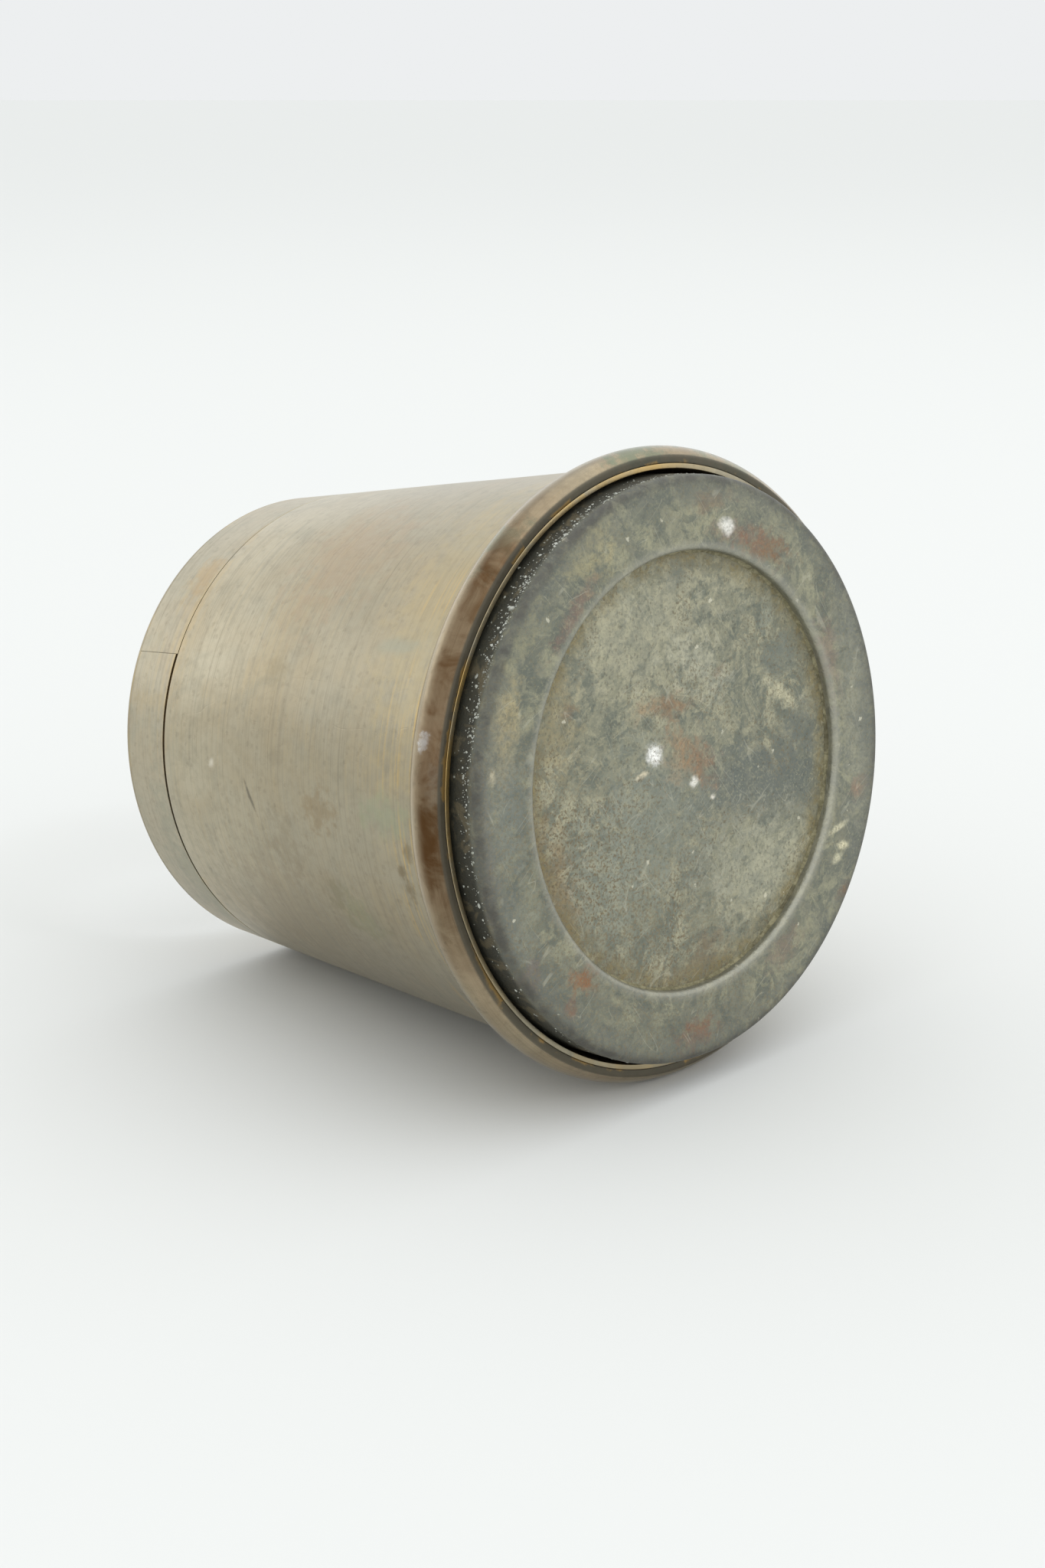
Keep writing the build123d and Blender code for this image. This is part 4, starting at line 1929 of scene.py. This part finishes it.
FOOT_PATINA = FootPatina(
    name="foot_brass", ground="7A7A6A", pale="96947A", dark="5F645B", speckle=0.5,
    grime_and_shade_from=0.8, wall_radius=34.4, edge="45433D", lip="A8A69A", corner="6B6548",
    dirt_from=30.0, dirt_to=34.0, dirt="62645C",
    stains=(
        # The first four patches darken the face on its -X side and along its +Y edge: tarnish, and painted
        # shade on that side.
        Stain(-28.5, 6.0, 4.0, 11.0, "585C54", turn=8),
        Stain(-22.0, -23.0, 7.0, 3.0, "5A5E56", turn=-42, strength=0.45),
        Stain(-8.0, 30.5, 13.0, 3.0, "5A5E56", turn=10, strength=0.45),
        Stain(-21.0, 23.0, 8.0, 3.0, "5A5E56", turn=45),
        Stain(14.5, -24.6, 3.8, 1.5, "7F5F42", turn=22, strength=0.9),
        Stain(10.5, -26.6, 4.0, 1.2, "7E6252", turn=12, strength=0.55),
        Stain(8.0, -28.0, 1.1, 0.8, "E8E6DE", turn=30, strength=0.9, ragged=0.7),
        Stain(5.5, -31.2, 2.6, 1.0, "84684F", ragged=1.4),
        Stain(-29.8, -10.0, 1.6, 4.6, "B5A373", turn=14, strength=0.7, ragged=1.3),
        Stain(-32.0, -6.0, 0.55, 0.9, "EFDFB6", strength=0.95, ragged=0.6),
        Stain(-15.0, -27.6, 3.6, 2.2, "B0A67C", turn=-30, strength=0.55, ragged=1.6),
        Stain(-27.0, -19.5, 5.5, 1.4, "A9A37C", turn=-48, strength=0.45, ragged=1.6),
        Stain(-17.5, -22.0, 4.2, 0.9, "7C5C50", turn=-45, ragged=1.3),
        Stain(-20.4, 20.0, 1.7, 1.2, "865C38", turn=20, strength=0.95),
        Stain(-22.8, 22.6, 0.8, 1.0, "7C5238", strength=0.7),
        Stain(-28.5, 17.5, 1.2, 1.6, "7A5950"),
        Stain(-2.5, 31.6, 2.6, 1.5, "7E5338", strength=0.8, ragged=1.3),
        Stain(14.2, 25.0, 3.0, 1.5, "7D6A5C", turn=-25, strength=0.6, ragged=1.3),
        Stain(25.6, -9.8, 1.3, 4.4, "80655A", turn=-12, ragged=1.3),
        Stain(30.0, 8.0, 1.6, 1.0, "8E5F40", strength=0.8),
        Stain(26.6, 20.6, 1.4, 0.8, "7F5F42", turn=-30, strength=0.85),
        Stain(25.8, 12.4, 1.5, 0.35, "D6D0B0", turn=-12, strength=0.8, ragged=0.7),
        Stain(26.6, 14.8, 1.0, 0.45, "DED6B4", turn=10, strength=0.9, ragged=0.6),
        Stain(25.4, 16.2, 0.9, 0.45, "D6D0B0", turn=-14, strength=0.8, ragged=0.6),
        Stain(-28.0, 9.0, 1.6, 4.0, "A59F78", turn=20, strength=0.4, ragged=1.5),
        Stain(-33.4, 4.0, 0.7, 12.0, "7A706C", ragged=1.4),
        Stain(-30.5, -3.0, 2.6, 7.0, "757B74", strength=0.6),
        Stain(-30.0, 12.0, 2.6, 5.0, "757B74", turn=25),
        Stain(30.5, -4.0, 3.0, 18.0, "84857A", ragged=1.0),
    ),
)

PANEL_PATINA = FootPatina(
    name="panel_brass", ground="868571", pale="A4A086", dark="656A60", speckle=1.0,
    grime_and_shade_from=80.0, wall_radius=80.0, edge="8A8A78", lip="8A8A78", corner="6B6548",
    dirt_from=22.6, dirt_to=25.2, dirt="786A40",
    stains=(
        Stain(-3.0, 5.0, 10.0, 7.0, "6A6F66", turn=-20, ragged=1.3),
        Stain(2.0, 12.0, 5.0, 3.0, "6A6F66", turn=30, strength=0.45, ragged=1.5),
        Stain(14.0, 4.4, 11.5, 4.2, "5A605C", turn=8, strength=0.85, ragged=0.7),
        Stain(21.5, -1.5, 3.6, 2.8, "5E645F", strength=0.7),
        Stain(18.5, -11.0, 3.4, 2.2, "686E66", turn=-20, strength=0.75),
        Stain(17.6, -6.4, 3.4, 0.9, "BDB799", turn=38, strength=0.9, ragged=0.9),
        Stain(16.0, -16.5, 1.0, 2.6, "868C80", turn=18, strength=0.55),
        Stain(0.3, -23.4, 1.4, 1.8, "626860", strength=0.8, ragged=1.0),
        Stain(-9.0, -22.5, 2.4, 1.4, "8A8F82", ragged=1.4),
        Stain(-6.0, -17.0, 11.0, 5.0, "B5B096", strength=0.45, ragged=1.4),
        Stain(12.0, 14.5, 8.0, 5.5, "B4B19A", ragged=1.4),
        Stain(-13.0, 11.0, 7.0, 6.0, "8B9082", ragged=1.4),
        Stain(-6.0, 2.0, 7.0, 6.0, "858A7E", ragged=1.5),
        Stain(-2.0, -8.2, 2.8, 1.1, "84684C", turn=8, strength=0.85, ragged=1.3),
        Stain(-6.5, -8.6, 1.6, 0.9, "A5805A", turn=-20, strength=0.45, ragged=1.3),
        Stain(2.0, -1.4, 3.4, 1.6, "88694E", turn=42, strength=0.85, ragged=1.4),
        Stain(-0.8, -2.4, 2.4, 2.6, "A08662", strength=0.45, ragged=1.5),
        Stain(-5.1, -3.0, 1.1, 1.0, "F2F1EC", turn=30, strength=1.0, ragged=0.7),
        Stain(1.2, 1.6, 0.6, 0.6, "EFECE2", strength=1.0, ragged=0.5),
        Stain(-7.4, -1.0, 0.9, 0.3, "DACDB0", turn=-12, strength=0.8, ragged=0.8),
        Stain(4.4, 4.0, 0.35, 0.3, "E6E0D2", strength=0.9, ragged=0.5),
        Stain(1.5, 21.8, 2.2, 1.2, "66543F", strength=0.6, ragged=1.8),
        Stain(0.5, 23.5, 4.6, 1.2, "7A6A4E", ragged=1.6),
        Stain(-22.4, 8.0, 2.2, 6.5, "87704A", turn=-14, strength=0.6, ragged=1.6),
        Stain(-20.5, -9.0, 2.6, 4.5, "8F8058", turn=20, strength=0.45, ragged=1.7),
        Stain(-18.4, -10.4, 0.9, 0.7, "6E4E34", strength=0.7, ragged=1.0),
        Stain(6.6, -10.9, 0.9, 0.4, "6E5238", turn=-30, strength=0.7, ragged=1.0),
        Stain(3.0, -12.0, 5.0, 2.2, "BAB8A4", turn=30, strength=0.4, ragged=1.5),
    ),
)

# The solder's pale colour is lightened to paint the highlight line along the bead's back edge: solder and
# painted highlight.
SOLDER_AND_HIGHLIGHT = Crust(name="solder", ground="CDC6B2", fleck="DAD4C4", metal=0.9, rough=0.3)
CORNER_DIRT = Crust(name="corner_dirt", ground="6C674C", fleck="8F896C")
RESIDUE = Crust(name="residue", ground="9C9E93", fleck="C2C4BC")


# ---------------------------------------------------------------- studio


@dataclass(frozen=True)
class Softbox:
    """A square soft light that faces the case.

    Attributes:
        name: The light's name.
        up: How far up from the case it hangs, in metres.
        across: How far to the right of it.
        ahead: How far beyond it.
        size: Length of its sides in metres.
        power: Its power in watts.
    """

    name: str
    up: float
    across: float
    ahead: float
    size: float
    power: float

    # Height of the case's middle along its axis, in metres.
    AIM = 0.035

    def build(self, up: Vector, across: Vector, ahead: Vector) -> None:
        """Hangs the light.

        Args:
            up: The way up from the floor.
            across: The way to the right.
            ahead: The way the camera faces along the floor.
        """
        light = bpy.data.lights.new(self.name, "AREA")
        light.size, light.energy = self.size, self.power
        lamp = bpy.data.objects.new(self.name, light)
        place = self.up * up + self.across * across + self.ahead * ahead
        turn = place.to_track_quat("Z", "Y").to_matrix().to_4x4()
        lamp.matrix_world = Matrix.Translation(Vector((0.0, 0.0, self.AIM)) + place) @ turn
        bpy.context.scene.collection.objects.link(lamp)


@dataclass(frozen=True)
class Studio:
    """Floor, light and camera round the lying case. Lengths are in metres.

    Attributes:
        eye: Where the camera stands.
        aim: The way it looks.
        lens: Focal length for a 36 mm sensor on the long side.
        floor_colour: Display colour of the floor.
        floor_reach: How far the floor reaches each way.
        floor_grain: Distance from the hollow's middle at which the grid starts to coarsen.
        floor_lines: Lines of the floor's grid each way.
        hollow: Distances from the hollow's middle where its bottom ends and where its slope ends.
        hollow_depth: Depth of the hollow, which leaves the lid free to come off.
        hollow_height: Height of the hollow's middle along the case's axis.
        room_below: Brightness of the room below the floor's level.
        room_horizon: Brightness at the horizon.
        room_above: Brightness overhead.
        room_colour: Display colour of the room.
        lights: A light overhead, one low on the left, which the body mirrors, and one on the right.
        bead: Radius, height and section radius of the bead, in millimetres.
        lid_edge: The same of the lid's rounded edge.
    """

    bead: Triple
    lid_edge: Triple
    eye: Triple = (-0.19252, -0.05806, -0.17828)
    aim: Triple = (0.66295, 0.21584, 0.7169)
    lens: float = 52.47
    floor_colour: str = "D6D7D5"
    floor_reach: float = 30.0
    floor_grain: float = 0.03
    floor_lines: int = 261
    hollow: tuple[float, float] = (0.012, 0.036)
    hollow_depth: float = 0.005
    hollow_height: float = 0.109
    room_below: float = 0.5
    room_horizon: float = 0.87
    room_above: float = 1.26
    room_colour: str = "FCFEFF"
    lights: tuple[Softbox, ...] = (
        Softbox("key", up=1.4, across=0.2, ahead=0.1, size=1.8, power=3.0),
        Softbox("left", up=0.19, across=-0.81, ahead=0.35, size=0.4, power=0.12),
        Softbox("right", up=0.75, across=1.1, ahead=-0.7, size=2.2, power=4.5),
    )

    def floor_normal(self) -> tuple[Vector, float]:
        """The way up from the floor, and how far below the origin the floor lies.

        Formula: the floor is the common tangent of two circles in the plane of Y and Z. The way down
        makes, with the line between their centres, the angle whose cosine is the difference of
        their radii over that line's length.

        Returns:
            The way up, and the distance in metres.
        """
        run, rise = self.lid_edge[0] - self.bead[0], self.lid_edge[1] - self.bead[1]
        lean = acos((self.bead[2] - self.lid_edge[2]) / sqrt(run**2 + rise**2))
        down = atan2(rise, run) - lean
        drop = self.bead[0] * cos(down) + self.bead[1] * sin(down) + self.bead[2]
        return Vector((0.0, -cos(down), -sin(down))), drop * MM

    def build(self) -> None:
        """Sets the floor, the light and the camera."""
        up, drop = self.floor_normal()
        forward = Vector(self.aim).normalized()
        across = forward.cross(up).normalized()
        ahead = up.cross(across)
        self.floor(up, across, ahead, drop)
        self.light(up, across, ahead)
        self.camera(forward, across)

    def floor(self, up: Vector, across: Vector, ahead: Vector, drop: float) -> None:
        """A pale floor, flat but for a shallow hollow where the lid comes out over it.

        Formula: a grid spaced as the hyperbolic sine, fine in the hollow and coarse at the horizon;
        each point sinks by the hollow's depth times a smooth step of its distance from the middle.

        Args:
            up: The way up from the floor.
            across: The way to the right.
            ahead: The way the camera faces along the floor.
            drop: How far the floor lies below the origin, in metres.
        """
        stretch = np.arcsinh(self.floor_reach / self.floor_grain)
        side = self.floor_grain * np.sinh(np.linspace(-stretch, stretch, self.floor_lines))
        sideways, onward = np.meshgrid(side, side)
        near, far = self.hollow
        share = np.clip((far - np.hypot(sideways, onward)) / (far - near), 0, 1)
        sink = self.hollow_depth * share**2 * (3 - 2 * share)
        middle = np.array([0.0, 0.0, self.hollow_height])
        middle -= np.array(up) * (middle @ np.array(up) + drop)
        points = middle + np.outer(sideways.ravel(), across) + np.outer(onward.ravel(), ahead)
        points -= np.outer(sink.ravel(), up)
        ids = np.arange(side.size**2).reshape(side.size, side.size)
        plane = mesh_piece("floor", points / MM, grid_faces(ids, False, False), {})
        plane.data.materials.append(self.floor_material())

    def floor_material(self) -> Material:
        """Matt white seen from its front, nothing from behind.

        Returns:
            The material.
        """
        material = bpy.data.materials.new("pale_floor")
        material.use_nodes = True
        material.node_tree.nodes.clear()
        wires = Wiring(material.node_tree)
        matt = wires.add("BsdfDiffuse", Color=tint(self.floor_colour))
        clear = wires.add("BsdfTransparent")
        side = wires.add("NewGeometry").outputs["Backfacing"]
        shown = wires.numbered("MixShader", {}, {0: side, 1: matt.outputs[0], 2: clear.outputs[0]})
        wires.feed(wires.add("OutputMaterial").inputs["Surface"], shown.outputs[0])
        return material

    def light(self, up: Vector, across: Vector, ahead: Vector) -> None:
        """A white room, pale at the horizon and brighter above, with the soft lights in it.

        Args:
            up: The way up from the floor.
            across: The way to the right.
            ahead: The way the camera faces along the floor.
        """
        world = bpy.data.worlds.new("white_room")
        bpy.context.scene.world = world
        world.use_nodes = True
        world.node_tree.nodes.clear()
        wires = Wiring(world.node_tree)
        heading = wires.add("TexCoord").outputs["Generated"]
        climb = wires.vector("DOT_PRODUCT", heading, tuple(up))
        below = wires.step(climb, -0.3, -0.02, self.room_below, self.room_horizon)
        above = wires.step(climb, 0.034, 0.12, 0.0, self.room_above - self.room_horizon)
        strength = wires.math("ADD", below, above)
        room = wires.add("Background", Color=tint(self.room_colour), Strength=strength)
        wires.feed(wires.add("OutputWorld").inputs["Surface"], room.outputs[0])
        for softbox in self.lights:
            softbox.build(up, across, ahead)

    def camera(self, forward: Vector, across: Vector) -> None:
        """Stands the camera level with the floor, looking along forward.

        Args:
            forward: The way the camera looks.
            across: The way to the right.
        """
        data = bpy.data.cameras.new("camera")
        data.sensor_width, data.lens = 36.0, self.lens
        data.clip_start, data.clip_end = 0.005, 20.0
        camera = bpy.data.objects.new("camera", data)
        turn = Matrix((across, across.cross(forward), -forward)).transposed().to_4x4()
        camera.matrix_world = Matrix.Translation(Vector(self.eye)) @ turn
        bpy.context.scene.collection.objects.link(camera)
        bpy.context.scene.camera = camera
        bpy.context.scene.view_settings.view_transform = "Standard"


def main() -> None:
    """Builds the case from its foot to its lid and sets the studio."""
    logging.basicConfig(level=logging.INFO, format="%(name)s %(message)s")
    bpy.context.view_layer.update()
    effects = Effects.build()
    foot_outside, foot, _ = reach("body_wall")
    cone = Cone(foot, foot_outside)
    body, lid = CaseBody(cone), Lid(cone)
    for assembly in (Foot(cone), body, NeedlePad(), lid):
        assembly.build(effects)
    band_top = reach("lid_band")[2]
    rim = reach("lid_top")[2] - lid.crown
    lid_edge = (cone.outside(band_top) - lid.edge_round, rim - lid.edge_round, lid.edge_round)
    Studio((*body.bead_centre(), body.bead_section), lid_edge).build()


if __name__ == "__main__":
    main()
